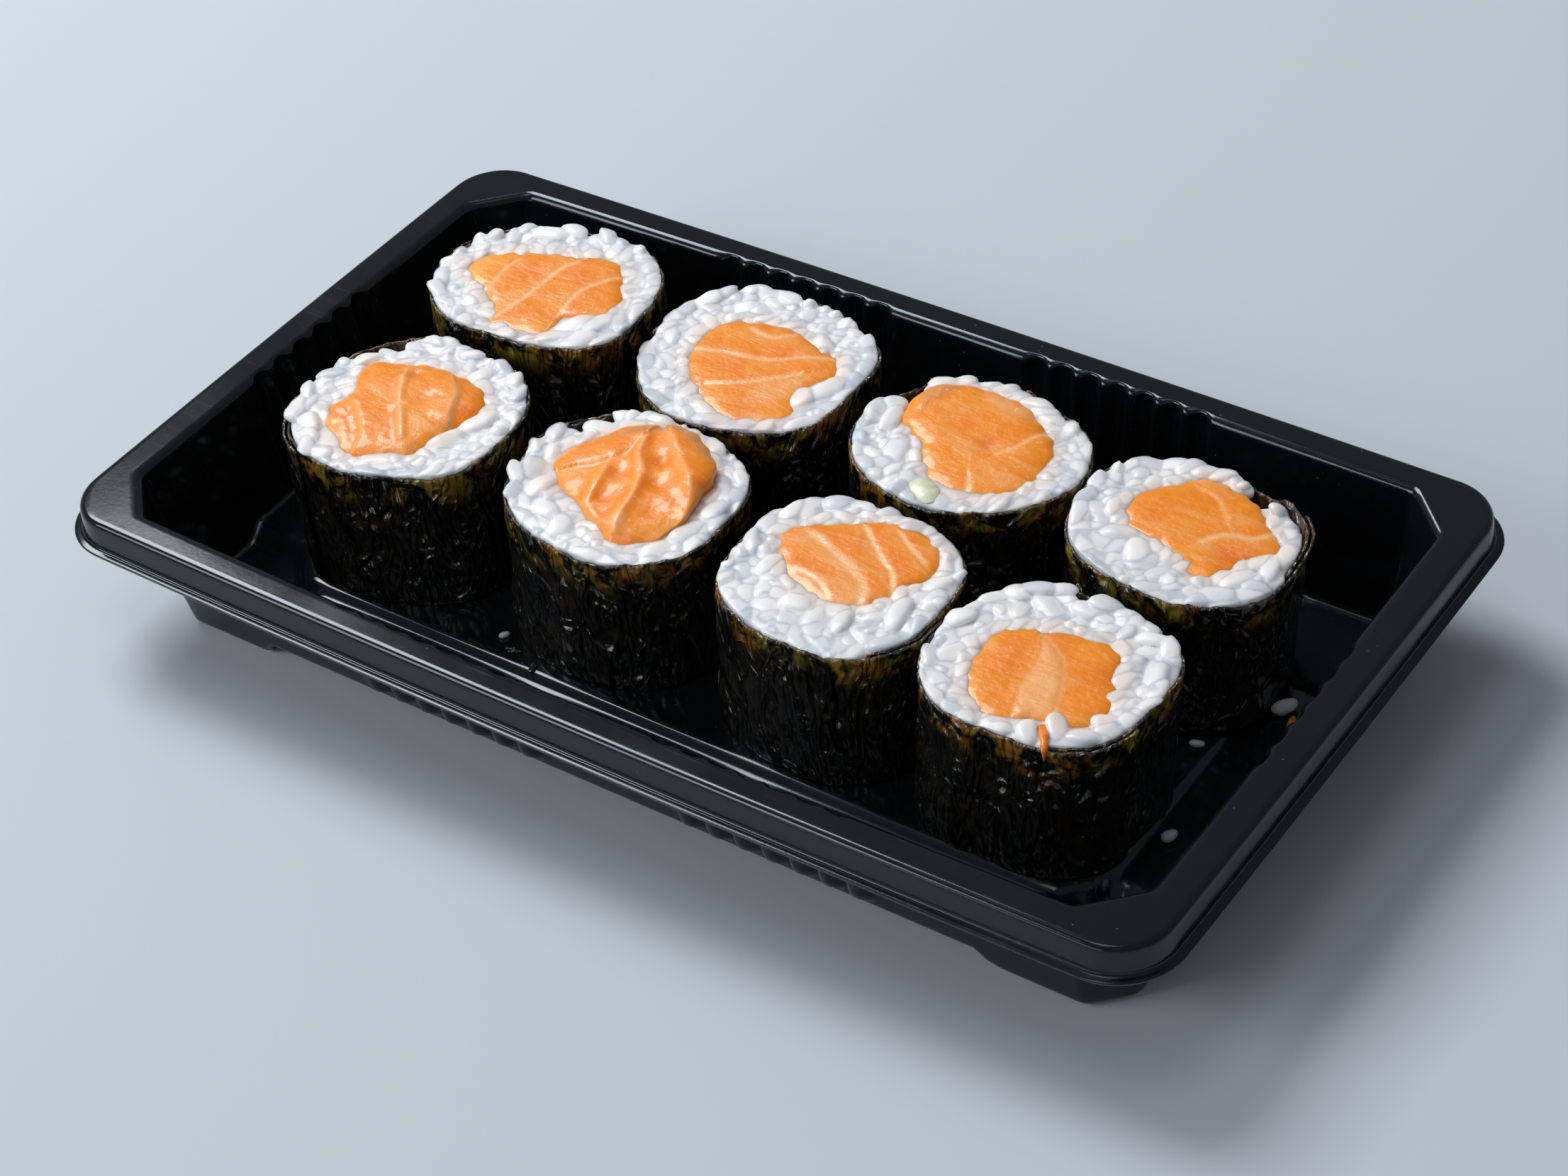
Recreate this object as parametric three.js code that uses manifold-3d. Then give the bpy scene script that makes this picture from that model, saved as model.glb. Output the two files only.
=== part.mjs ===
// A black takeaway tray holding eight cut salmon sushi rolls, which stand in two rows of four.
//
// Millimetres, +Z up. The origin is the middle of the footprint, level with the underside of the feet.
// X runs along the long side of the tray, and -Y is its front.

import * as THREE from 'three';
import { mergeVertices } from 'three/addons/utils/BufferGeometryUtils.js';
import Module from 'manifold-3d';

const wasm = await Module();
wasm.setup();

// ---- Driving dimensions of the tray ----

const SHEET = 0.6; // thickness of the formed plastic
const LAND_LENGTH = 160.8; // the flat rim, measured over its rounded shoulders
const LAND_WIDTH = 90.1;
const LAND_HEIGHT = 20.5; // from the table to the flat rim
const RIM_BOW = { longSides: 0.7, shortSides: 0.25 }; // the middle of a side stands out past its ends
const RIM_CORNER_RADIUS = 7.2;
const RIM_CORNER_STEPS = 4;
const SHOULDER_RADIUS = 0.9;
const SKIRT_DROP = 3.5; // the skirt that hangs from the shoulder
const SKIRT_SPLAY = 0.25;
const LEDGE_WIDTH = 1.15; // the ledge round the foot of the skirt
const LEDGE_FALL = 0.15;
const LEDGE_FILLET = 0.45; // where the skirt turns out into the ledge
const FILLET_INSIDE = 0.2; // how far the inside of that turn lies down and in from the outside
const LAND_OVERHANG = 9; // the land starts this far in, before the cavity is cut out of it
const LAND_INNER_RADIUS = 1.2;

const LIP_LENGTH = 150.6; // the cavity at the height of the land
const LIP_WIDTH = 80.3;
const LIP_CHAMFER = 6.1;
const LIP_BOW = { longSides: 1.4, shortSides: 0.3 }; // the walls lose this bow on their way down
const WALL_BEND_RADIUS = 2;
const WALL_DRAFT = 0.16; // each millimetre down brings a wall this far in
const FLOOR_BEVEL = 0.7;

const CHANNEL_HEIGHT = 2; // underside of the channel that runs round the floor
const PANEL_LENGTH = 122.4; // the raised middle of the floor
const PANEL_WIDTH = 52;
const PANEL_RISE = 0.8;
const PANEL_SLOPE = 0.5;
const FOOT_START_X = 55.4; // a foot fills its corner of the tray from here outward
const FOOT_START_Y = 21.5;
const FOOT_DIAGONAL = 85.3; // |x| + |y| along the cut inner corner of a foot
const FOOT_SLOPE = 1.6;

const FLUTE_PITCH = 4.05; // upright half-round flutes stiffen the walls
const FLUTE_WIDTH = 2.9;
const FLUTE_DEPTH = 1.15;
const FLUTE_CREST = 0.5; // width of its flat crest, as a share of its own
const FLUTE_ROOT = 0.4; // depth to which a flute is rooted in the wall
const FLUTE_SHEET = 0.9; // thickness of the plastic over a flute, as a share of the sheet
const FLUTE_CROWN = 1; // height over which the top of a flute rounds off
const FLUTE_TIP = -0.2; // depth at the very top, as a share: it ends inside the wall
const FLUTE_TOP_GAP = 0.9; // bare wall between the lip and a flute
const FLUTE_FOOT_GAP = 1.2; // and between a flute and the floor
const LONG_WALL_FLUTES = 7;
const LONG_WALL_FLUTE_GROUPS = [-22.3, 26.5]; // middle of each group along X
const SHORT_WALL_FLUTES = 6;

// ---- Driving dimensions of the rolls ----

const NORI = 0.35; // thickness of the seaweed sheet
const FIT = 0.3; // gap between pieces that lie against each other
const STAND_GAP = 0.1; // gap between the floor and what stands on it
const WRAP_STEPS = 25; // steps in one turn of the wrap
const OVERLAP_STEPS = 3; // steps that the sheet runs on past its own start
const LIFT_STEPS = 5; // steps over which it comes out again from under that overlap
const EDGE_WAVE = 0.35; // how far the cut edge of the sheet wanders up and down
const RICE_BELOW_RIM = 0.7; // core of the rice, under the rim of the wrap
const MIN_RICE = 1.3; // least width of rice between fish and wrap
const GRAIN = { length: 5.2, width: 2.5, height: 2.2 };
const GRAIN_SIZES = [0.85, 1.1]; // smallest and largest, beside the size above
const GRAIN_PLUMPNESS = [0.7, 1.35];
const GRAINS_PER_ROLL = 22;
const GRAIN_TRIES = 14; // places drawn for each grain, of which the emptiest is taken
const GRAIN_STEPS = 8; // sides of a grain, seen from above
const GRAIN_RIDGE = 0.45; // length of the ridge along a grain, as a share of the grain's length
const FISH_STEPS = 21;
const FISH_EDGE_DROP = 0.4; // the rounded edge of the fish starts this far under its cut top
const FISH_DOME_LEVELS = [[0.45, 0.86], [0.9, 0.5]]; // share of the dome's height, share of the reach there

// Each roll: where its cut top is centred, how far its foot lies to the left of its top, the height of its
// rim, the angle in degrees where the seaweed ends, the reach of the wrap from the centre every 30 degrees,
// and the fish: its own centre in the roll, its reach every 30 degrees, its dome and its upward slope.
const ROLLS = [
  {
    x: -49.4, y: 19.7, lean: 0.6, rim: 25.2, seam: 150,
    wrap: [16, 16, 15, 13.4, 13.8, 15.5, 16.6, 16.6, 14.6, 13, 13.8, 16.6],
    fish: {
      x: 0.2, y: -1.3, dome: 0.6, slope: [0, 0.02],
      reach: [12, 11.2, 10.9, 8.4, 8.1, 10.1, 12.6, 8.4, 7.7, 11.2, 12, 8.2],
    },
  },
  {
    x: -48.9, y: -10.7, lean: 0.4, rim: 25, seam: 200,
    wrap: [15.4, 16, 15.6, 14.4, 15.8, 15.3, 15.4, 16.2, 16, 15, 14.4, 16],
    fish: {
      x: -0.3, y: -1.1, dome: 0.9, slope: [0, 0.04],
      reach: [8.6, 11, 10.4, 9.3, 9.6, 11.2, 8.2, 10, 9.6, 10.8, 9.6, 9.2],
    },
  },
  {
    x: -14.7, y: 19.1, lean: 1, rim: 25.2, seam: 140,
    wrap: [15.4, 16.5, 15, 14.6, 15.8, 17.2, 15.8, 15.7, 15.6, 15, 15.2, 16.8],
    fish: {
      x: 1.7, y: -2.3, dome: 0.5, slope: [0, 0.02],
      reach: [8, 11.2, 9.6, 9.8, 10.7, 12, 10.4, 8.8, 8.4, 9.6, 12.2, 11],
    },
  },
  {
    x: -14.2, y: -10, lean: 2, rim: 25, seam: 135,
    wrap: [15.6, 16, 14.4, 13.6, 15.6, 16.6, 16.2, 15.6, 14.3, 13.9, 15.4, 16.6],
    fish: {
      x: 0.6, y: 1.2, dome: 2.3, slope: [0.06, 0.1],
      reach: [10, 10.2, 10.2, 10.6, 10.8, 10.6, 12, 10.8, 8.4, 9.6, 12.8, 11.6],
    },
  },
  {
    x: 19.4, y: 17.4, lean: 1.4, rim: 25, seam: 45,
    wrap: [16, 15.4, 13, 13.3, 14.5, 14.6, 15.5, 15, 13.7, 13, 13.7, 14.5],
    fish: {
      x: 0.6, y: 0.9, dome: 0.8, slope: [-0.02, 0.05],
      reach: [10.6, 9.4, 8.6, 9.2, 10.4, 12.6, 10.8, 7.4, 8, 10, 11.4, 11.4],
    },
  },
  {
    x: 19.6, y: -11.3, lean: 2, rim: 25, seam: 315,
    wrap: [14.4, 15.3, 14.2, 13.5, 14.5, 15.8, 15, 15.4, 13.9, 13.5, 15, 15.4],
    fish: {
      x: 0, y: 3.2, dome: 0.6, slope: [0, 0.02],
      reach: [8.6, 10.4, 10.2, 8.2, 7.2, 8.4, 11.4, 9.4, 8.4, 8.2, 8.6, 8.2],
    },
  },
  {
    x: 51.4, y: 15.7, lean: 2.2, rim: 25, seam: 355,
    wrap: [14.9, 14.6, 12.8, 12.8, 13.7, 15.8, 15.2, 14.4, 12.7, 12.4, 13.7, 15.1],
    fish: {
      x: 1.1, y: 2, dome: 0.6, slope: [0, 0.02],
      reach: [10.4, 8, 7.4, 7.9, 8.8, 8.8, 10.4, 9, 6.4, 7.2, 10.2, 8.8],
    },
  },
  {
    x: 49.5, y: -12.7, lean: 1.9, rim: 25, seam: 300,
    wrap: [14.8, 15.7, 14.1, 13.2, 14.6, 14.9, 15.1, 15.4, 14.6, 13, 14.4, 15.3],
    fish: {
      x: 0.5, y: -2.2, dome: 0.6, slope: [0, 0.01],
      reach: [9.4, 8.7, 9.7, 8.3, 8.5, 10, 9.2, 9.4, 9.6, 8.3, 7, 9.8],
    },
  },
];

// A pale green sliver runs through the rice of one roll, beside the fish.
const SLIVER = { roll: 4, angle: 262, distance: 9.9, length: 4.4, width: 2.4, above: 0.3, steps: 10 };

const TRAY_PLASTIC = new THREE.MeshStandardMaterial({ color: 0x0b0d11, roughness: 0.28, metalness: 0 });
const SEAWEED = new THREE.MeshStandardMaterial({ color: 0x14160c, roughness: 0.5, metalness: 0 });
const COOKED_RICE = new THREE.MeshStandardMaterial({ color: 0xe6e6ea, roughness: 0.35, metalness: 0 });
const RAW_SALMON = new THREE.MeshStandardMaterial({ color: 0xf08a35, roughness: 0.35, metalness: 0 });
const PALE_GREEN = new THREE.MeshStandardMaterial({ color: 0xd8dcae, roughness: 0.4, metalness: 0 });

const FULL_TURN = 2 * Math.PI;
const CHANNEL_FLOOR = CHANNEL_HEIGHT + SHEET;
const PANEL_FLOOR = CHANNEL_FLOOR + PANEL_RISE;

// ---- Meshes and solids ----

/** A geometry with only positions, from points [x, y, z] and faces of three point numbers. */
function geometryOf(points, faces) {
  const geometry = new THREE.BufferGeometry();
  geometry.setAttribute('position', new THREE.Float32BufferAttribute(points.flat(), 3));
  geometry.setIndex(faces.flat());
  return geometry;
}

/** The faces between two rings of points that both run counter-clockwise, the second one above the first. */
function band(lower, upper, count) {
  const faces = [];
  for (let i = 0; i < count; i += 1) {
    const next = (i + 1) % count;
    faces.push([lower + i, lower + next, upper + next]);
    faces.push([lower + i, upper + next, upper + i]);
  }
  return faces;
}

/** A closed body over stacked rings, from the bottom up, with a point in the middle of each end. */
function stackedBody(rings, bottomMiddle, topMiddle) {
  const count = rings[0].length;
  const points = [...rings.flat(), bottomMiddle, topMiddle];
  const bottom = points.length - 2;
  const top = points.length - 1;
  const lastRing = (rings.length - 1) * count;
  const faces = [];
  for (let level = 1; level < rings.length; level += 1) {
    faces.push(...band((level - 1) * count, level * count, count));
  }
  for (let i = 0; i < count; i += 1) {
    const next = (i + 1) % count;
    faces.push([bottom, next, i]);
    faces.push([top, lastRing + i, lastRing + next]);
  }
  return geometryOf(points, faces);
}

/** A closed ring-shaped body: its section is walked out along the bottom, up, and back in along the top. */
function ringBody(rings) {
  const count = rings[0].length;
  const faces = rings.flatMap((ring, level) => {
    const following = (level + 1) % rings.length;
    return band(level * count, following * count, count);
  });
  return geometryOf(rings.flat(), faces);
}

/** A flat ring of points at one height, from plan points [x, y]. */
function atHeight(outline, z) {
  return outline.map(([x, y]) => [x, y, z]);
}

/** The body between flat outlines of as many points each, given as [outline, height] from the bottom up. */
function loft(levels) {
  const rings = levels.map(([outline, z]) => atHeight(outline, z));
  const middle = levels[0][0].reduce(([x, y], point) => [x + point[0], y + point[1]], [0, 0]);
  const count = levels[0][0].length;
  const centre = [middle[0] / count, middle[1] / count];
  return stackedBody(rings, [...centre, levels[0][1]], [...centre, levels.at(-1)[1]]);
}

/** The manifold solid of a closed geometry. */
function solidOf(geometry) {
  const bare = geometry.clone();
  bare.deleteAttribute('normal');
  bare.deleteAttribute('uv');
  const merged = mergeVertices(bare, 1e-4);
  const mesh = new wasm.Mesh({
    numProp: 3,
    vertProperties: new Float32Array(merged.attributes.position.array),
    triVerts: new Uint32Array(merged.index.array),
  });
  return new wasm.Manifold(mesh);
}

/** The geometry of a manifold solid, without any scrap that a cut left loose. */
function geometryOfSolid(solid) {
  const pieces = solid.decompose();
  const largest = pieces.reduce((best, piece) => (piece.volume() > best.volume() ? piece : best));
  const mesh = largest.getMesh();
  const geometry = new THREE.BufferGeometry();
  geometry.setAttribute('position', new THREE.Float32BufferAttribute(mesh.vertProperties, 3));
  geometry.setIndex(Array.from(mesh.triVerts));
  return geometry;
}

/** All the solids joined in one. */
function joined(solids) {
  return solids.reduce((whole, solid) => whole.add(solid));
}

/** A named mesh of one material. */
function namedMesh(name, geometry, material) {
  const mesh = new THREE.Mesh(geometry, material);
  mesh.name = name;
  geometry.computeVertexNormals();
  return mesh;
}

// ---- Outlines of the tray ----

/** Moves a plan point outward by a bow of the long and the short sides. */
function bowed([x, y], bow) {
  const alongX = x / (LAND_LENGTH / 2);
  const alongY = y / (LAND_WIDTH / 2);
  const outX = bow.shortSides * alongX * Math.max(0, 1 - alongY * alongY);
  const outY = bow.longSides * alongY * Math.max(0, 1 - alongX * alongX);
  return [x + outX, y + outY];
}

/** The bow of the walls at a height: all of it at the lip and none at the table. */
function wallBow(z) {
  const share = z / LAND_HEIGHT;
  return { longSides: share * LIP_BOW.longSides, shortSides: share * LIP_BOW.shortSides };
}

/**
 * A convex counter-clockwise outline with arcs at its corners and a bow in its sides.
 * breaks gives, for the side that follows each corner, the shares of its length at which it has points.
 */
function roundedOutline(corners, radius, arcSteps, breaks, bow) {
  const count = corners.length;
  const points = corners.map(([x, y]) => new THREE.Vector2(x, y));
  const along = points.map((point, i) => points[(i + 1) % count].clone().sub(point).normalize());
  const turns = points.map((_, i) => Math.acos(along.at(i - 1).dot(along[i])));
  const reaches = turns.map((turn) => radius * Math.tan(turn / 2));
  const outline = [];
  points.forEach((corner, i) => {
    const arrival = along.at(i - 1);
    const start = corner.clone().addScaledVector(arrival, -reaches[i]);
    const centre = new THREE.Vector2(-arrival.y, arrival.x).multiplyScalar(radius).add(start);
    for (let step = 0; step <= arcSteps; step += 1) {
      outline.push(start.clone().rotateAround(centre, (turns[i] * step) / arcSteps));
    }
    const leave = outline.at(-1);
    const next = (i + 1) % count;
    const arrive = points[next].clone().addScaledVector(along[i], -reaches[next]);
    breaks[i].forEach((share) => outline.push(leave.clone().lerp(arrive, share)));
  });
  return outline.map((point) => bowed([point.x, point.y], bow));
}

/** The rounded rectangle of the rim, moved outward by an offset. */
function rimOutline(offset) {
  const x = LAND_LENGTH / 2 + offset;
  const y = LAND_WIDTH / 2 + offset;
  const corners = [[x, y], [-x, y], [-x, -y], [x, -y]];
  const radius = Math.max(RIM_CORNER_RADIUS + offset, LAND_INNER_RADIUS);
  const longSide = [0.25, 0.5, 0.75];
  const shortSide = [0.5];
  const breaks = [longSide, shortSide, longSide, shortSide];
  return roundedOutline(corners, radius, RIM_CORNER_STEPS, breaks, RIM_BOW);
}

/** The eight-sided outline of the walls, moved inward by an inset from the lip, with its bow at a height. */
function wallOutline(inset, z) {
  const x = LIP_LENGTH / 2 - inset;
  const y = LIP_WIDTH / 2 - inset;
  const chamfer = LIP_CHAMFER - inset * (2 - Math.SQRT2);
  const corners = [
    [x, y - chamfer], [x - chamfer, y], [-x + chamfer, y], [-x, y - chamfer],
    [-x, -y + chamfer], [-x + chamfer, -y], [x - chamfer, -y], [x, -y + chamfer],
  ];
  const longSide = [0.17, 0.5, 0.83]; // these points stay clear of the flutes
  const breaks = [[], longSide, [], [], [], longSide, [], []];
  return roundedOutline(corners, WALL_BEND_RADIUS, 1, breaks, wallBow(z));
}

/** How far in from the lip the inside of the wall lies at a height. */
function wallInset(z) {
  return WALL_DRAFT * (LAND_HEIGHT - z);
}

// ---- Parts of the tray ----

/** The rim: the land, its rounded shoulder, the skirt below it and the ledge round the skirt. */
function rimSolid() {
  const bend = SHOULDER_RADIUS * (1 - Math.SQRT1_2);
  const ledgeStart = SKIRT_SPLAY + LEDGE_FILLET;
  const ledgeEnd = SKIRT_SPLAY + LEDGE_WIDTH;
  const ledgeDrop = SKIRT_DROP + LEDGE_FILLET;
  const section = [
    [-LAND_OVERHANG, -SHEET],
    [-SHOULDER_RADIUS, -SHEET],
    [-SHEET, -SHOULDER_RADIUS],
    [SKIRT_SPLAY - SHEET, -SKIRT_DROP - FILLET_INSIDE],
    [ledgeStart - FILLET_INSIDE, -ledgeDrop - SHEET],
    [ledgeEnd, -ledgeDrop - LEDGE_FALL - SHEET],
    [ledgeEnd, -ledgeDrop - LEDGE_FALL],
    [ledgeStart, -ledgeDrop],
    [SKIRT_SPLAY, -SKIRT_DROP],
    [0, -SHOULDER_RADIUS],
    [-bend, -bend],
    [-SHOULDER_RADIUS, 0],
    [-LAND_OVERHANG, 0],
  ];
  const rings = section.map(([offset, drop]) => atHeight(rimOutline(offset), LAND_HEIGHT + drop));
  return solidOf(ringBody(rings));
}

/** The wedge of space in one corner that goes down to the foot there. Its three inner sides slope. */
function footWedge(signX, signY, lift, tighten) {
  const level = (rise) => {
    const inward = (FOOT_SLOPE * rise) / CHANNEL_HEIGHT - tighten;
    const startX = FOOT_START_X - inward;
    const startY = FOOT_START_Y - inward;
    const diagonal = FOOT_DIAGONAL - inward * Math.SQRT2;
    const corners = [
      [startX, LAND_WIDTH], [startX, diagonal - startX], [diagonal - startY, startY],
      [LAND_LENGTH, startY], [LAND_LENGTH, LAND_WIDTH],
    ];
    const placed = corners.map(([x, y]) => [signX * x, signY * y]);
    return [signX * signY > 0 ? placed : placed.reverse(), lift + rise];
  };
  return solidOf(loft([level(-CHANNEL_HEIGHT), level(2 * CHANNEL_HEIGHT)]));
}

/** The raised floor between the feet: a slab with the panel on it and a bevel along the walls. */
function raisedFloor(lift, outward) {
  const tighten = lift / 2;
  const rectangle = (length, width) => {
    const x = length / 2 - tighten;
    const y = width / 2 - tighten;
    return [[x, y], [-x, y], [-x, -y], [x, -y]];
  };
  const channel = lift + CHANNEL_HEIGHT;
  const slabTop = channel + 1.5 * FLOOR_BEVEL;
  const bevelTop = channel + 2 * FLOOR_BEVEL;
  const bevelInset = wallInset(channel) - outward + FLOOR_BEVEL;
  const wide = rectangle(LAND_LENGTH, LAND_WIDTH);
  const slab = solidOf(loft([[wide, -CHANNEL_HEIGHT], [wide, slabTop]]));
  const well = solidOf(loft([
    [wallOutline(bevelInset, channel), channel],
    [wallOutline(bevelInset - 2 * FLOOR_BEVEL, channel), bevelTop],
  ]));
  const panelFoot = rectangle(PANEL_LENGTH + 4 * PANEL_SLOPE, PANEL_WIDTH + 4 * PANEL_SLOPE);
  const panelTop = rectangle(PANEL_LENGTH, PANEL_WIDTH);
  const panel = solidOf(loft([[panelFoot, channel - PANEL_RISE], [panelTop, channel + PANEL_RISE]]));
  const signs = [[1, 1], [-1, 1], [-1, -1], [1, -1]];
  const wedges = signs.map(([signX, signY]) => footWedge(signX, signY, lift, tighten));
  return slab.subtract(well).add(panel).subtract(joined(wedges));
}

/** The tub with its stepped floor, as seen at one face of the sheet, up to a height. */
function tubSolid(lift, outward, topZ) {
  const level = (z, bevel) => [wallOutline(wallInset(z) - outward + bevel, z), z];
  const walls = loft([level(lift, FLOOR_BEVEL), level(lift + FLOOR_BEVEL, 0), level(topZ, 0)]);
  return solidOf(walls).subtract(raisedFloor(lift, outward));
}

/** One upright flute: a half-round bar that follows the wall at a given distance and bulges along +Y. */
function fluteBar(wallAt, levels, grow) {
  const halfWidth = FLUTE_WIDTH / 2 + grow * Math.SQRT1_2;
  const halfCrest = halfWidth * FLUTE_CREST;
  return loft(levels.map(([z, share]) => {
    const y = wallAt(z) - wallInset(z);
    const depth = (FLUTE_DEPTH + grow) * share;
    const outline = [
      [halfWidth, y - FLUTE_ROOT], [halfCrest, y + depth],
      [-halfCrest, y + depth], [-halfWidth, y - FLUTE_ROOT],
    ];
    return [outline, z];
  }));
}

/** All the flutes, each turned and moved to its wall. A level is a height and the share of full depth there. */
function fluteSolids(levels, grow) {
  const bars = [];
  const addRow = (count, middle, turn, wallAt) => {
    for (let i = 0; i < count; i += 1) {
      const along = middle + (i - (count - 1) / 2) * FLUTE_PITCH;
      const bar = fluteBar((z) => wallAt(along, wallBow(z)), levels, grow);
      bars.push(solidOf(bar.translate(along, 0, 0).rotateZ(turn)));
    }
  };
  const longWall = (along, bow) => bowed([along, LIP_WIDTH / 2], bow)[1];
  const shortWall = (along, bow) => bowed([LIP_LENGTH / 2, along], bow)[0];
  for (const middle of LONG_WALL_FLUTE_GROUPS) {
    addRow(LONG_WALL_FLUTES, middle, 0, longWall);
    addRow(LONG_WALL_FLUTES, -middle, Math.PI, longWall);
  }
  addRow(SHORT_WALL_FLUTES, 0, Math.PI / 2, shortWall);
  addRow(SHORT_WALL_FLUTES, 0, -Math.PI / 2, shortWall);
  return joined(bars);
}

/** The whole tray as one sheet of even thickness: its outer form less the space inside it. */
function trayGeometry() {
  const midLand = LAND_HEIGHT - SHEET / 2;
  const fluteTop = LAND_HEIGHT - FLUTE_TOP_GAP;
  const outsideFlutes = fluteSolids([[CHANNEL_HEIGHT + FLUTE_FOOT_GAP, 1], [midLand, 1]], SHEET * FLUTE_SHEET);
  const insideFlutes = fluteSolids([
    [CHANNEL_FLOOR + FLUTE_FOOT_GAP, 1], [fluteTop - FLUTE_CROWN, 1], [fluteTop, FLUTE_TIP],
  ], 0);
  const outside = tubSolid(0, SHEET, midLand).add(outsideFlutes).add(rimSolid());
  const inside = tubSolid(SHEET, 0, LAND_HEIGHT + 2).add(insideFlutes);
  return geometryOfSolid(outside.subtract(inside));
}

// ---- Parts of the rolls ----

/** A smooth closed curve of reaches that are given at equal steps of angle. */
function reachAt(reaches, angle) {
  const count = reaches.length;
  const place = (((angle / FULL_TURN) % 1) + 1) * count;
  const first = Math.floor(place);
  const t = place - first;
  const [a, b, c, d] = [-1, 0, 1, 2].map((step) => reaches[(first + step + count) % count]);
  const curve = 2 * b + (c - a) * t + (2 * a - 5 * b + 4 * c - d) * t * t + (3 * b - a - 3 * c + d) * t * t * t;
  return curve / 2;
}

/** The sideways place of a roll's middle at a height: its foot lies to the left of its top. */
function middleX(roll, z) {
  return roll.x - (roll.lean * (roll.rim - z)) / (roll.rim - PANEL_FLOOR);
}

/** A point of a roll at an angle, a reach from its middle and a height. */
function rollPoint(roll, angle, reach, z) {
  return [middleX(roll, z) + reach * Math.cos(angle), roll.y + reach * Math.sin(angle), z];
}

/** The slow wave in the cut upper edge of a wrap. */
function edgeWave(index, angle) {
  return EDGE_WAVE * (0.6 * Math.sin(3 * angle + index) + 0.4 * Math.sin(7 * angle + 2.3 * index));
}

/** How far the sheet lies in from the wrap's outline, at a number of steps from where it starts. */
function tuck(steps) {
  const out = THREE.MathUtils.smoothstep(steps, OVERLAP_STEPS, OVERLAP_STEPS + LIFT_STEPS);
  return (NORI + FIT) * (1 - out);
}

/** The angle of a wrap at a number of steps from where its sheet starts. */
function wrapAngle(roll, steps) {
  return THREE.MathUtils.degToRad(roll.seam) + (FULL_TURN * steps) / WRAP_STEPS;
}

/** The seaweed: one strip that starts under its own end, goes round the roll and laps over that start. */
function wrapGeometry(roll, index) {
  const stepCount = WRAP_STEPS + OVERLAP_STEPS;
  const bottom = PANEL_FLOOR + STAND_GAP;
  const points = [];
  for (let step = 0; step <= stepCount; step += 1) {
    const angle = wrapAngle(roll, step);
    const outer = reachAt(roll.wrap, angle) - tuck(step);
    const top = roll.rim + edgeWave(index, angle);
    points.push(rollPoint(roll, angle, outer - NORI, bottom));
    points.push(rollPoint(roll, angle, outer, bottom));
    points.push(rollPoint(roll, angle, outer, top));
    points.push(rollPoint(roll, angle, outer - NORI, top));
  }
  const faces = [[0, 2, 3], [0, 1, 2]];
  for (let step = 0; step < stepCount; step += 1) {
    const here = 4 * step;
    const there = here + 4;
    for (let side = 0; side < 4; side += 1) {
      const next = (side + 1) % 4;
      faces.push([here + side, there + next, here + next]);
      faces.push([here + side, there + side, there + next]);
    }
  }
  const last = 4 * stepCount;
  faces.push([last, last + 3, last + 2], [last, last + 2, last + 1]);
  return geometryOf(points, faces);
}

/** The reach of the rice inside the wrap. */
function riceReach(roll, angle) {
  const steps = (((angle - wrapAngle(roll, 0)) / FULL_TURN) * WRAP_STEPS) % WRAP_STEPS;
  const past = steps < -1e-6 ? steps + WRAP_STEPS : steps;
  return reachAt(roll.wrap, angle) - tuck(past) - NORI - FIT;
}

/** A point on the side of the fish, seen from the middle of the fish, kept clear of the wrap. */
function fishEdge(roll, angle, grow) {
  const { fish } = roll;
  const reach = reachAt(fish.reach, angle);
  const x = fish.x + reach * Math.cos(angle);
  const y = fish.y + reach * Math.sin(angle);
  const distance = Math.hypot(x, y);
  const limit = riceReach(roll, Math.atan2(y, x)) - MIN_RICE - FIT;
  const kept = Math.min(1, limit / distance);
  const grown = 1 + grow / Math.max(distance * kept, 1);
  return [x * kept * grown, y * kept * grown];
}

/** A ring of points round the fish at a height, or at a height that a function gives for each point. */
function fishRing(roll, height, grow, share) {
  const ring = [];
  for (let step = 0; step < FISH_STEPS; step += 1) {
    const [x, y] = fishEdge(roll, (FULL_TURN * step) / FISH_STEPS, grow);
    const offsetX = roll.fish.x + (x - roll.fish.x) * share;
    const offsetY = roll.fish.y + (y - roll.fish.y) * share;
    const z = height(offsetX, offsetY);
    ring.push([middleX(roll, z) + offsetX, roll.y + offsetY, z]);
  }
  return ring;
}

/** The fish: a strip of salmon that runs down through the roll and domes a little above the rice. */
function fishGeometry(roll) {
  const { fish } = roll;
  const bottom = PANEL_FLOOR + STAND_GAP;
  const top = (x, y) => roll.rim + fish.slope[0] * (x - fish.x) + fish.slope[1] * (y - fish.y);
  const rings = [
    fishRing(roll, () => bottom, 0, 1),
    fishRing(roll, (x, y) => top(x, y) - FISH_EDGE_DROP, 0, 1),
    ...FISH_DOME_LEVELS.map(([rise, share]) => fishRing(roll, (x, y) => top(x, y) + rise * fish.dome, 0, share)),
  ];
  const bottomMiddle = [middleX(roll, bottom) + fish.x, roll.y + fish.y, bottom];
  const peak = top(fish.x, fish.y) + fish.dome;
  return stackedBody(rings, bottomMiddle, [middleX(roll, peak) + fish.x, roll.y + fish.y, peak]);
}

/** A solid of the room inside the wrap, between two heights, leaning as the roll does. */
function insideWrap(roll, bottomZ, topZ) {
  const ring = (z) => {
    const points = [];
    for (let step = 0; step < WRAP_STEPS; step += 1) {
      const angle = wrapAngle(roll, step);
      points.push(rollPoint(roll, angle, riceReach(roll, angle), z));
    }
    return points;
  };
  const middle = (z) => rollPoint(roll, 0, 0, z);
  return solidOf(stackedBody([ring(bottomZ), ring(topZ)], middle(bottomZ), middle(topZ)));
}

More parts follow.
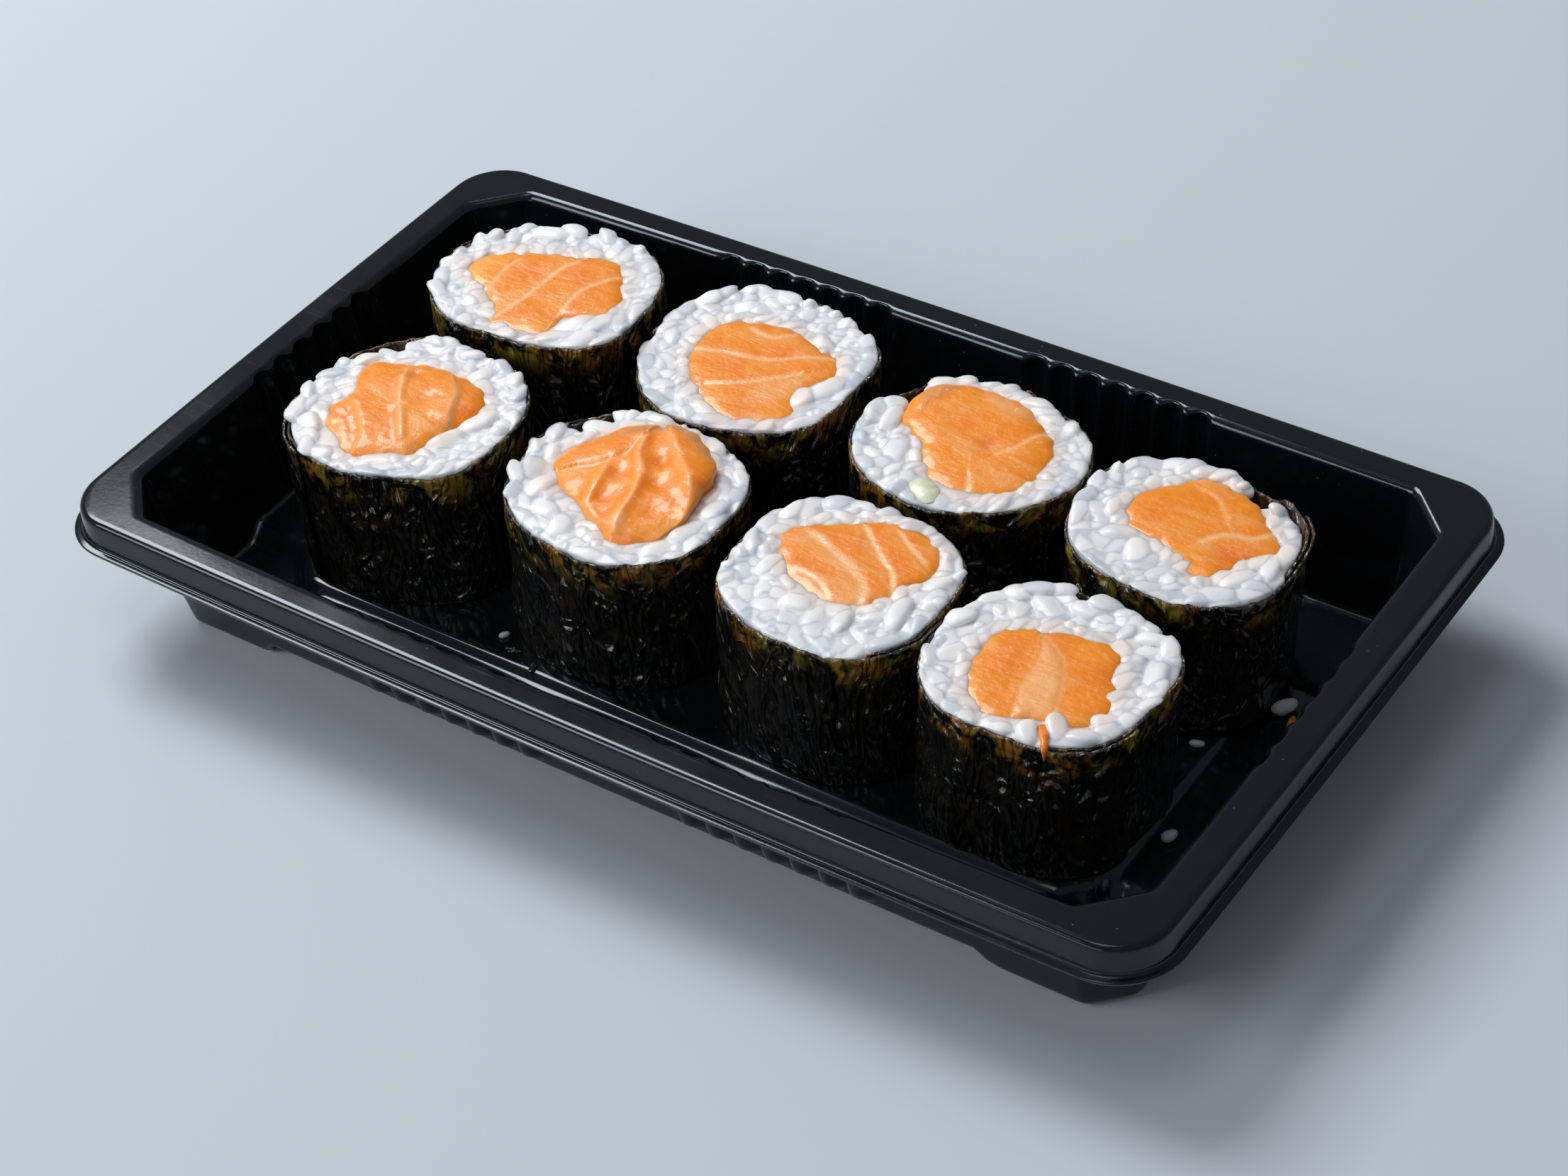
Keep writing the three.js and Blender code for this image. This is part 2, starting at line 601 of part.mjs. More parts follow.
/** The room that the fish takes up in the rice, with a little play. */
function fishRoom(roll) {
  const below = PANEL_FLOOR - 1;
  const above = roll.rim + 8;
  const rings = [below, above].map((z) => fishRing(roll, () => z, FIT, 1));
  const middle = (z) => [middleX(roll, z) + roll.fish.x, roll.y + roll.fish.y, z];
  return solidOf(stackedBody(rings, middle(below), middle(above)));
}

/** A seeded source of even numbers from 0 to 1. */
function evenNumbers(seed) {
  let state = seed;
  return () => {
    state = (state * 1664525 + 1013904223) % 4294967296;
    return state / 4294967296;
  };
}

/** A place for a grain, drawn at random on the ring of rice. In narrow rice a grain lies along the ring. */
function grainPlace(roll, random) {
  const [x, y] = fishEdge(roll, FULL_TURN * random(), FIT);
  const angle = Math.atan2(y, x);
  const inner = Math.hypot(x, y);
  const outer = riceReach(roll, angle);
  const freedom = THREE.MathUtils.clamp((outer - inner - GRAIN.width) / GRAIN.length, 0, 1);
  const turn = Math.asin(freedom) * (2 * random() - 1);
  const half = (GRAIN.width * Math.cos(turn) + GRAIN.length * Math.abs(Math.sin(turn))) / 2;
  const room = Math.max(0, outer - inner - 2 * half);
  const reach = (inner + outer + room * (2 * random() - 1)) / 2;
  return { x: reach * Math.cos(angle), y: reach * Math.sin(angle), heading: angle + Math.PI / 2 + turn };
}

/** The distance from a place to the nearest of the places already taken. */
function clearance(place, taken) {
  return Math.min(...taken.map(({ x, y }) => Math.hypot(x - place.x, y - place.y)));
}

/** Places for all the grains of a roll, spread evenly: each is the emptiest of a few drawn at random. */
function grainPlaces(roll, random) {
  const taken = [];
  for (let i = 0; i < GRAINS_PER_ROLL; i += 1) {
    const tries = Array.from({ length: GRAIN_TRIES }, () => grainPlace(roll, random));
    const emptier = (best, place) => (clearance(place, taken) > clearance(best, taken) ? place : best);
    taken.push(tries.reduce(emptier));
  }
  return taken;
}

/** A rice grain lying level: an oval ring of points with a short ridge above it and another below it. */
function grainGeometry() {
  const points = [];
  for (let step = 0; step < GRAIN_STEPS; step += 1) {
    const turn = (FULL_TURN * step) / GRAIN_STEPS;
    points.push([(GRAIN.length / 2) * Math.cos(turn), (GRAIN.width / 2) * Math.sin(turn), 0]);
  }
  const ridge = (GRAIN_RIDGE * GRAIN.length) / 2;
  const [topFront, topBack, lowFront, lowBack] = [0, 1, 2, 3].map((i) => GRAIN_STEPS + i);
  points.push([ridge, 0, GRAIN.height / 2], [-ridge, 0, GRAIN.height / 2]);
  points.push([ridge, 0, -GRAIN.height / 2], [-ridge, 0, -GRAIN.height / 2]);
  const left = GRAIN_STEPS / 4;
  const right = 3 * left;
  const faces = [
    [left, topBack, topFront], [right, topFront, topBack],
    [left, lowFront, lowBack], [right, lowBack, lowFront],
  ];
  for (let step = 0; step < GRAIN_STEPS; step += 1) {
    const next = (step + 1) % GRAIN_STEPS;
    const isBack = step >= left && step < right;
    faces.push([step, next, isBack ? topBack : topFront]);
    faces.push([next, step, isBack ? lowBack : lowFront]);
  }
  return geometryOf(points, faces);
}

/** A rice grain of a size and a plumpness, laid at its place in a roll. */
function grainSolid(roll, place, z, size, plumpness) {
  const grain = grainGeometry().scale(size, size, plumpness).rotateZ(place.heading);
  return solidOf(grain.translate(middleX(roll, z) + place.x, roll.y + place.y, z));
}

/** The rice: a core round the fish with the grains on top fused on, trimmed to the room inside the wrap. */
function riceGeometry(roll, index) {
  const random = evenNumbers(index + 1);
  const bottom = PANEL_FLOOR + STAND_GAP;
  const coreTop = roll.rim - RICE_BELOW_RIM;
  const grains = grainPlaces(roll, random).map((place) => {
    const size = THREE.MathUtils.lerp(...GRAIN_SIZES, random());
    return grainSolid(roll, place, coreTop, size, THREE.MathUtils.lerp(...GRAIN_PLUMPNESS, random()));
  });
  const room = insideWrap(roll, bottom, roll.rim + 4).subtract(fishRoom(roll));
  const rice = insideWrap(roll, bottom, coreTop).add(joined(grains)).intersect(room);
  const hasSliver = index === SLIVER.roll;
  return geometryOfSolid(hasSliver ? rice.subtract(solidOf(sliverGeometry(roll, FIT, 4))) : rice);
}

/** The pale green sliver: a thin half-round strip that runs down through the rice. */
function sliverGeometry(roll, grow, extra) {
  const angle = THREE.MathUtils.degToRad(SLIVER.angle);
  const halfLength = SLIVER.length / 2 + grow;
  const halfWidth = SLIVER.width / 2 + grow;
  const bottom = PANEL_FLOOR + STAND_GAP - extra;
  const top = roll.rim + SLIVER.above + extra;
  const ring = (z) => {
    const points = [];
    const [x, y] = rollPoint(roll, angle, SLIVER.distance, z);
    for (let step = 0; step < SLIVER.steps; step += 1) {
      const turn = (FULL_TURN * step) / SLIVER.steps;
      const across = halfWidth * Math.cos(turn);
      const along = halfLength * Math.sin(turn);
      const dx = across * Math.cos(angle) - along * Math.sin(angle);
      const dy = across * Math.sin(angle) + along * Math.cos(angle);
      points.push([x + dx, y + dy, z]);
    }
    return points;
  };
  const middle = (z) => rollPoint(roll, angle, SLIVER.distance, z);
  return stackedBody([ring(bottom), ring(top)], middle(bottom), middle(top));
}

// ---- The whole ----

/** One roll: its wrap, its rice and its fish. */
function rollGroup(roll, index) {
  const group = new THREE.Group();
  const label = `roll_${index + 1}`;
  group.add(namedMesh(`${label}_nori`, wrapGeometry(roll, index), SEAWEED));
  group.add(namedMesh(`${label}_rice`, riceGeometry(roll, index), COOKED_RICE));
  group.add(namedMesh(`${label}_salmon`, fishGeometry(roll), RAW_SALMON));
  if (index === SLIVER.roll) {
    group.add(namedMesh(`${label}_green_sliver`, sliverGeometry(roll, 0, 0), PALE_GREEN));
  }
  return group;
}

/** The tray with all its rolls. */
function sushiTray() {
  const whole = new THREE.Group();
  whole.add(namedMesh('tray', trayGeometry(), TRAY_PLASTIC));
  ROLLS.forEach((roll, index) => whole.add(rollGroup(roll, index)));
  return whole;
}

export default sushiTray();
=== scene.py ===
"""A black takeaway tray with eight cut salmon rolls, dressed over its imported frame.

Sizes and places are millimetres, with the middle of the tray's foot at zero, and MM turns them into the
metres of a mesh. Only the lights and the backdrop are given in metres.
"""

from __future__ import annotations

import logging
import math
import random
from dataclasses import dataclass
from enum import Enum
from typing import Optional, Sequence, Union

import bmesh
import bpy
import numpy as np
from mathutils import Matrix, Vector, noise


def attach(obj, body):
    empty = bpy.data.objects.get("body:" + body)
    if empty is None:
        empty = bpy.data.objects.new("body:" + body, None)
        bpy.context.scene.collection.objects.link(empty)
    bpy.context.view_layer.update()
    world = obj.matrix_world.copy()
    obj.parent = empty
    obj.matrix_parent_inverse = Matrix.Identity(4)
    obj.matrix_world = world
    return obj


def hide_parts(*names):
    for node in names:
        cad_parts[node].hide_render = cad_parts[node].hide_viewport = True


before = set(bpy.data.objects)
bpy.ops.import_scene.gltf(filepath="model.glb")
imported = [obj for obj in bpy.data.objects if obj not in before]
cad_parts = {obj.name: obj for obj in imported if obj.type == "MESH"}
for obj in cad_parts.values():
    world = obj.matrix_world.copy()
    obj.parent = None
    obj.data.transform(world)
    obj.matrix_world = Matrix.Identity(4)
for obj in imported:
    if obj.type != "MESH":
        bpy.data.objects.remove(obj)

MM = 0.001
FULL_TURN = 2 * math.pi
LOG = logging.getLogger("sushi_tray")
Piece = bpy.types.Object
Material = bpy.types.Material
Point = tuple[float, float]
Triple = tuple[float, float, float]
Array = np.ndarray
Numbers = Union[float, Array]
Station = tuple[int, float]
Value = Union["Term", float, tuple]

# The Mix node's sockets for colours, which have the same names as its sockets for numbers.
COLOUR_MIX_INPUTS = (0, 6, 7)
COLOUR_MIX_OUTPUT = 2


# ---- Shader expressions ----


class Graph:
    """A material's node tree, with one way to add any node."""

    def __init__(self, name: str) -> None:
        """Makes the material with only a Principled shader and its output.

        Args:
            name: the material's name.
        """
        self.material = bpy.data.materials.new(name)
        self.material.use_nodes = True
        self.tree = self.material.node_tree
        self.tree.nodes.clear()
        self.shader = self.node("BsdfPrincipled")
        output = self.node("OutputMaterial")
        self.tree.links.new(self.shader.outputs[0], output.inputs["Surface"])

    def node(self, kind: str, settings: Optional[dict] = None, **inputs: Value) -> bpy.types.Node:
        """Adds a node.

        Args:
            kind: the node's type, without its ShaderNode prefix.
            settings: attributes to set first.
            **inputs: what its sockets take, by their names with _ for a space.

        Returns:
            The node.
        """
        made = self.tree.nodes.new("ShaderNode" + kind)
        for name, value in (settings or {}).items():
            setattr(made, name, value)
        for name, value in inputs.items():
            self.feed(made.inputs[name.replace("_", " ")], value)
        return made

    def feed(self, socket: bpy.types.NodeSocket, value: Value) -> None:
        """Links a Term to a socket, or sets the socket to a plain value.

        Args:
            socket: the socket.
            value: what it takes.
        """
        if isinstance(value, Term):
            self.tree.links.new(value.socket, socket)
        elif isinstance(value, tuple) and len(value) == 3 and socket.type == "RGBA":
            socket.default_value = (*value, 1.0)
        else:
            socket.default_value = value

    def term(self, node: bpy.types.Node, output: Union[int, str] = 0) -> "Term":
        """A node's output, ready for expressions."""
        return Term(self, node.outputs[output])

    def place(self, scale: Triple = (1.0, 1.0, 1.0), turn: Triple = (0.0, 0.0, 0.0)) -> "Term":
        """Object coordinates in millimetres, turned and stretched.

        Args:
            scale: what each axis is multiplied by, after millimetres.
            turn: rotation about each axis in radians.

        Returns:
            The coordinate.
        """
        where = self.term(self.node("TexCoord"), "Object")
        per_metre = tuple(s / MM for s in scale)
        return self.term(self.node("Mapping", Vector=where, Scale=per_metre, Rotation=turn))

    def noise(self, where: "Term", scale: float, detail: float = 3.0, roughness: float = 0.55,
              distortion: float = 0.0) -> "Term":
        """Fractal noise from 0 to 1 at a place."""
        return self.term(self.node("TexNoise", Vector=where, Scale=scale, Detail=detail,
                                   Roughness=roughness, Distortion=distortion))

    def cells(self, where: "Term", scale: float) -> "Term":
        """Distance to the nearest of scattered points."""
        return self.term(self.node("TexVoronoi", Vector=where, Scale=scale), "Distance")

    def attribute(self, name: str) -> "Term":
        """A number that the mesh keeps for each of its points."""
        return self.term(self.node("Attribute", {"attribute_name": name}), "Fac")

    def maths(self, operation: str, *values: Value) -> "Term":
        """Adds a Math node.

        Args:
            operation: what it does.
            *values: the numbers that it works on, in order.

        Returns:
            Its result.
        """
        made = self.node("Math", {"operation": operation})
        for socket, value in zip(made.inputs, values):
            self.feed(socket, value)
        return self.term(made)

    def blend(self, share: Value, first: Value, second: Value) -> "Term":
        """Mixes two colours.

        Args:
            share: how much of the second there is, from 0 to 1.
            first: the first colour.
            second: the second colour.

        Returns:
            The mixed colour.
        """
        made = self.node("Mix", {"data_type": "RGBA"})
        for socket, value in zip(COLOUR_MIX_INPUTS, (share, first, second)):
            self.feed(made.inputs[socket], value)
        return self.term(made, COLOUR_MIX_OUTPUT)

    def bump(self, height: "Term", strength: float, distance_mm: float,
             under: Optional["Term"] = None) -> "Term":
        """The normal of a surface with a height added.

        Args:
            height: the height, where 1 is distance_mm.
            strength: how much of it shows.
            distance_mm: the height of 1, in millimetres.
            under: the normal that it is added to.

        Returns:
            The new normal.
        """
        made = self.node("Bump", Height=height, Strength=strength, Distance=distance_mm * MM)
        if under is not None:
            self.feed(made.inputs["Normal"], under)
        return self.term(made)

    def surface(self, **sockets: Value) -> Material:
        """Feeds the shader.

        Args:
            **sockets: what its sockets take, by their names with _ for a space.

        Returns:
            The material.
        """
        for name, value in sockets.items():
            self.feed(self.shader.inputs[name.replace("_", " ")], value)
        return self.material


class Term:
    """A socket that adds Math nodes when it is used in an expression."""

    def __init__(self, graph: Graph, socket: bpy.types.NodeSocket) -> None:
        """Keeps the socket and the graph that it belongs to."""
        self.graph = graph
        self.socket = socket

    def __add__(self, other: Value) -> "Term":
        """self + other."""
        return self.graph.maths("ADD", self, other)

    __radd__ = __add__

    def __sub__(self, other: Value) -> "Term":
        """self - other."""
        return self.graph.maths("SUBTRACT", self, other)

    def __rsub__(self, other: Value) -> "Term":
        """other - self."""
        return self.graph.maths("SUBTRACT", other, self)

    def __mul__(self, other: Value) -> "Term":
        """self * other."""
        return self.graph.maths("MULTIPLY", self, other)

    __rmul__ = __mul__

    def __pow__(self, other: Value) -> "Term":
        """self ** other."""
        return self.graph.maths("POWER", self, other)

    def __rpow__(self, other: Value) -> "Term":
        """other ** self."""
        return self.graph.maths("POWER", other, self)

    def __abs__(self) -> "Term":
        """The size of this without its sign."""
        return self.graph.maths("ABSOLUTE", self)

    def over(self, low: float, high: float) -> "Term":
        """A smooth step from 0 to 1, as this goes from low to high."""
        return self.graph.term(self.graph.node("MapRange", {"interpolation_type": "SMOOTHSTEP"}, Value=self,
                                               From_Min=low, From_Max=high))


def colour(red: int, green: int, blue: int) -> Triple:
    """Linear light of a colour given in screen values from 0 to 255."""
    shares = [value / 255 for value in (red, green, blue)]
    return tuple(s / 12.92 if s <= 0.04045 else ((s + 0.055) / 1.055) ** 2.4 for s in shares)


# ---- Finishes ----


@dataclass(frozen=True)
class BlackPlastic:
    """Formed black sheet with a satin gloss, faint smudges, scratches and dust."""

    body: tuple = colour(15, 17, 21)
    dust: tuple = colour(105, 110, 120)
    roughness: float = 0.11

    def material(self) -> Material:
        """Builds the finish.

        Returns:
            The material.
        """
        graph = Graph("black_tray_plastic")
        where = graph.place()
        smudge = graph.noise(where, 0.045, 4.0, 0.6)
        grain = graph.noise(where, 1.6, 3.0, 0.6)
        streaks = graph.noise(graph.place((0.09, 2.6, 1.0), (0.0, 0.0, 0.5)), 0.8, 3.0, 0.7)
        specks = graph.cells(where, 0.55).over(0.075, 0.035)
        sparse = graph.noise(where, 0.11, 2.0).over(0.5, 0.62)
        dusty = specks * sparse
        rough = self.roughness + smudge.over(0.35, 0.75) * 0.08 + streaks.over(0.56, 0.72) * 0.05
        height = grain * 0.5 + graph.noise(where, 0.25, 2.0) * 0.5
        return graph.surface(
            Base_Color=graph.blend(dusty * 0.5, self.body, self.dust),
            Roughness=rough + dusty * 0.3,
            Normal=graph.bump(height, 0.08, 0.1),
            IOR=1.52,
            Specular_IOR_Level=0.45,
            Specular_Tint=(0.8, 0.9, 1.0),
        )


@dataclass(frozen=True)
class Seaweed:
    """Damp pressed seaweed: near black, with olive and gold-brown patches towards its cut edge."""

    dark: tuple = colour(9, 10, 9)
    green: tuple = colour(24, 26, 13)
    olive: tuple = colour(134, 122, 40)
    brown: tuple = colour(160, 106, 36)
    inner: tuple = colour(46, 28, 18)
    speck: tuple = colour(158, 148, 104)

    def material(self) -> Material:
        """Builds the finish.

        Returns:
            The material.
        """
        graph = Graph("seaweed")
        where = graph.place()
        slanted = graph.place((1.0, 1.0, 0.45), (0.5, 0.6, 0.3))
        fibres = graph.noise(slanted, 0.9, 5.0, 0.7, 0.8)
        patches = graph.noise(where, 0.2, 3.0, 0.6)
        fine = graph.noise(where, 2.4, 4.0, 0.7)
        near_edge = graph.attribute("near_edge")
        tint = graph.blend(fibres.over(0.5, 0.75) * 0.8, self.dark, self.green)
        warm = graph.blend(patches.over(0.42, 0.58), self.brown, self.olive)
        blotches = graph.noise(where, 0.24, 5.0, 0.62, 0.9).over(0.45, 0.59)
        lit = (near_edge * 0.96 + 0.04) * blotches * fibres.over(0.26, 0.48)
        tint = graph.blend(lit * 0.95, tint, warm)
        specks = graph.cells(where, 0.7).over(0.17, 0.08) * graph.noise(where, 0.35, 2.0).over(0.54, 0.6)
        tint = graph.blend(specks * 0.4, tint, self.speck)
        tint = graph.blend(graph.attribute("inside") * 0.85, tint, self.inner)
        creases = graph.noise(slanted, 0.28, 1.0, 0.5, 1.6)
        ridges = abs(creases - 0.5) * -2.0
        wrinkles = graph.noise(graph.place((1.0, 1.0, 0.4), (0.9, 0.6, 0.2)), 0.55, 1.0, 0.5, 1.2)
        normal = graph.bump(ridges, 1.0, 1.9)
        normal = graph.bump(wrinkles, 1.0, 0.62, normal)
        normal = graph.bump(fine, 1.0, 0.04, normal)
        return graph.surface(
            Base_Color=tint,
            Roughness=0.2 + fine * 0.08,
            Normal=normal,
            Specular_IOR_Level=0.9,
            Coat_Weight=0.3,
            Coat_Roughness=0.06,
        )


@dataclass(frozen=True)
class CookedRice:
    """Moist white rice: a little bluish and translucent, warmer beside the salmon, with painted shade in the
    seams between its grains.
    """

    white: tuple = colour(240, 239, 239)
    clear: tuple = colour(190, 198, 209)
    painted_seam_shade: tuple = colour(166, 177, 192)
    warm: tuple = colour(248, 222, 205)

    def material(self) -> Material:
        """Builds the finish.

        Returns:
            The material.
        """
        graph = Graph("cooked_rice")
        where = graph.place()
        cloudy = graph.noise(where, 0.4, 3.0, 0.6)
        fine = graph.noise(where, 2.2, 3.0, 0.6)
        see_through = graph.attribute("clear") ** 1.4 * (0.5 + graph.attribute("near_seaweed") * 0.5)
        tint = graph.blend(see_through * (0.4 + cloudy * 0.9), self.white, self.clear)
        tint = graph.blend(graph.attribute("near_fish") * 0.55, tint, self.warm)
        # Painted shade: the seam number darkens the grooves between grains, and the slab that shows between
        # them, toward a greyish blue.
        tint = graph.blend(graph.attribute("seam") * 0.5, tint, self.painted_seam_shade)
        return graph.surface(
            Base_Color=tint,
            Roughness=0.32 + cloudy * 0.16,
            Normal=graph.bump(fine, 0.2, 0.12),
            Subsurface_Weight=1.0,
            Subsurface_Radius=(1.0, 0.96, 0.92),
            Subsurface_Scale=0.0017,
            Specular_IOR_Level=0.45,
            Coat_Weight=0.12,
            Coat_Roughness=0.14,
        )


@dataclass(frozen=True)
class RawSalmon:
    """Moist raw salmon: orange flakes between pale bands of fat, with fine threads along each flake, painted
    glints and painted shade.
    """

    flesh: tuple = colour(246, 142, 8)
    golden: tuple = colour(250, 164, 36)
    # deep is also the colour of the painted shade in sunk hollows and beside the bands.
    deep: tuple = colour(236, 110, 2)
    pale: tuple = colour(253, 206, 154)
    brown: tuple = colour(204, 142, 84)
    painted_glint: tuple = colour(255, 234, 208)

    def material(self, turn: float) -> Material:
        """Builds the finish.

        Args:
            turn: the direction of the threads in plan, in radians.

        Returns:
            The material.
        """
        graph = Graph("raw_salmon")
        where = graph.place()
        along = (0.0, 0.0, turn)
        threads = graph.noise(graph.place((0.4, 3.2, 1.0), along), 0.9, 3.0, 0.6, 0.3)
        silk = graph.noise(graph.place((0.5, 1.6, 1.0), along), 0.3, 3.0, 0.55, 0.6)
        glint_dots = graph.cells(graph.place((0.55, 1.9, 1.0), along), 0.85).over(0.16, 0.05)
        cloudy = graph.noise(where, 0.16, 3.0, 0.6)
        fine = graph.noise(where, 1.6, 4.0, 0.65, 0.5)
        tint = graph.blend(cloudy.over(0.38, 0.66) * 0.35, self.flesh, self.golden)
        tint = graph.blend(graph.attribute("golden"), tint, self.golden)
        tint = graph.blend(graph.attribute("deep"), tint, self.deep)
        tint = graph.blend(silk.over(0.48, 0.7) * 0.22, tint, self.pale)
        tint = graph.blend(threads.over(0.5, 0.78) * 0.12, tint, self.pale)
        tint = graph.blend(fine.over(0.58, 0.74) * 0.2, tint, self.pale)
        tint = graph.blend(graph.attribute("brown"), tint, self.brown)
        fat = graph.attribute("fat") * (0.6 + fine * 0.6)
        tint = graph.blend(fat, tint, self.pale)
        sparse = graph.noise(where, 0.5, 2.0).over(0.45, 0.6)
        # Painted glints: sparse pale-white dots in the colour, which also raise small bumps below.
        tint = graph.blend(glint_dots * sparse * 0.7, tint, self.painted_glint)
        height = silk * 0.8 + threads * 0.14 + fine * 0.35 + glint_dots * sparse * 0.3
        return graph.surface(
            Base_Color=tint,
            Roughness=0.28 + fine * 0.2,
            Normal=graph.bump(height, 0.5, 0.35),
            Subsurface_Weight=0.5,
            Subsurface_Radius=(1.0, 0.4, 0.16),
            Subsurface_Scale=0.0012,
            Specular_IOR_Level=0.4,
            Coat_Weight=0.3,
            Coat_Roughness=0.07,
        )


@dataclass(frozen=True)
class PaleGreen:
    """The moist flesh of a pale green vegetable."""

    flesh: tuple = colour(210, 219, 184)
    light: tuple = colour(226, 231, 208)

    def material(self) -> Material:
        """Builds the finish.

        Returns:
            The material.
        """
        graph = Graph("pale_green")
        fine = graph.noise(graph.place(), 1.2, 3.0)
        tint = graph.blend(fine.over(0.4, 0.65), self.flesh, self.light)
        return graph.surface(
            Base_Color=tint,
            Roughness=0.25 + fine * 0.15,
            Subsurface_Weight=0.8,
            Subsurface_Radius=(0.8, 1.0, 0.6),
            Subsurface_Scale=0.001,
        )


@dataclass(frozen=True)
class Backdrop:
    """The matte pale sheet that the tray stands on."""

    shade: tuple = colour(196, 204, 213)
    mottle: tuple = colour(187, 195, 204)

    def material(self) -> Material:
        """Builds the finish.

        Returns:
            The material.
        """
        graph = Graph("pale_backdrop")
        mottled = graph.noise(graph.place(), 0.35, 3.0)
        return graph.surface(
            Base_Color=graph.blend(mottled * 0.1, self.shade, self.mottle),
            Roughness=0.85,
            Specular_IOR_Level=0.2,
        )


# ---- Shaping ----


def smooth(value: Numbers, low: float, high: float) -> Numbers:
    """A smooth step from 0 at low to 1 at high."""
    share = np.clip((value - low) / (high - low), 0.0, 1.0)
    return share * share * (3 - 2 * share)


def through(a: Numbers, b: Numbers, c: Numbers, d: Numbers, t: Numbers) -> Numbers:
    """A smooth curve through four values in a row, at a share t of the way from the second to the third."""
    return (2 * b + (c - a) * t + (2 * a - 5 * b + 4 * c - d) * t**2 + (3 * b - a - 3 * c + d) * t**3) / 2


def between(degrees: Numbers, middle: float) -> Numbers:
    """The turn between directions and another, in degrees from 0 to 180."""
    return np.abs((degrees - middle + 180) % 360 - 180)


def closed_curve(reaches: Sequence[float], angle: Numbers) -> Numbers:
    """A smooth closed curve of reaches that are given at equal steps of angle.

    Args:
        reaches: the reach at each step of a full turn.
        angle: where it is read, in radians.

    Returns:
        The reach there.
    """
    table = np.asarray(reaches, float)
    count = len(table)
    place = (np.asarray(angle, float) / FULL_TURN % 1.0) * count
    first = np.floor(place).astype(int)
    t = place - first
    a, b, c, d = (table[(first + step) % count] for step in (-1, 0, 1, 2))
    return through(a, b, c, d, t)


def nearest_on_line(x: Array, y: Array, line: Sequence[Point]) -> tuple[Array, Array]:
    """How far points in plan lie from a line through given points, and on which side of it.

    Args:
        x, y: the points' places in plan.
        line: the points that the line runs through.

    Returns:
        The distances, and 1 for a point on the left of the line's direction or -1 on its right.
    """
    best = np.full(np.shape(x), 1e9)
    side = np.ones(np.shape(x))
    for (ax, ay), (bx, by) in zip(line, line[1:]):
        length = max((bx - ax) ** 2 + (by - ay) ** 2, 1e-9)
        share = np.clip(((x - ax) * (bx - ax) + (y - ay) * (by - ay)) / length, 0.0, 1.0)
        away = np.hypot(x - ax - share * (bx - ax), y - ay - share * (by - ay))
        turn = (bx - ax) * (y - ay) - (by - ay) * (x - ax)
        side = np.where(away < best, np.where(turn >= 0, 1.0, -1.0), side)
        best = np.minimum(best, away)
    return best, side


def rounded_line(line: Sequence[Point], steps: int = 6) -> list[Point]:
    """A smooth curve through the points of a line.

    Args:
        line: the points.
        steps: how many points stand in for each of them.

    Returns:
        The points of the curve.
    """
    if len(line) < 3:
        return list(line)
    ends = [(2 * line[0][0] - line[1][0], 2 * line[0][1] - line[1][1]), *line,
            (2 * line[-1][0] - line[-2][0], 2 * line[-1][1] - line[-2][1])]
    found = []
    for a, b, c, d in zip(ends, ends[1:], ends[2:], ends[3:]):
        for step in range(steps):
            t = step / steps
            found.append(tuple(through(*four, t) for four in zip(a, b, c, d)))
    return [*found, line[-1]]


def smooth_path(points: Sequence[Triple], steps: int = 5) -> list[Triple]:
    """A smooth curve through points in space."""
    level = rounded_line([(p[0], p[1]) for p in points], steps)
    heights = rounded_line([(float(i), p[2]) for i, p in enumerate(points)], steps)
    return [(x, y, z) for (x, y), (_, z) in zip(level, heights)]


def inside_share(x: Array, y: Array, outline: Sequence[Point], soft: float) -> Array:
    """How far points lie inside a closed outline, from 0 outside it to 1, over a soft edge.

    Args:
        x, y: the points' places in plan.
        outline: the outline's corners.
        soft: half the width of its edge.

    Returns:
        The share at each point.
    """
    closed = [*outline, outline[0]]
    away, _ = nearest_on_line(x, y, closed)
    within = np.zeros(np.shape(x), bool)
    for (ax, ay), (bx, by) in zip(closed, closed[1:]):
        crosses = (ay > y) != (by > y)
        rise = by - ay if by != ay else 1e-9
        within ^= crosses & (x < (bx - ax) * (y - ay) / rise + ax)
    return smooth(np.where(within, away, -away), -soft, soft)


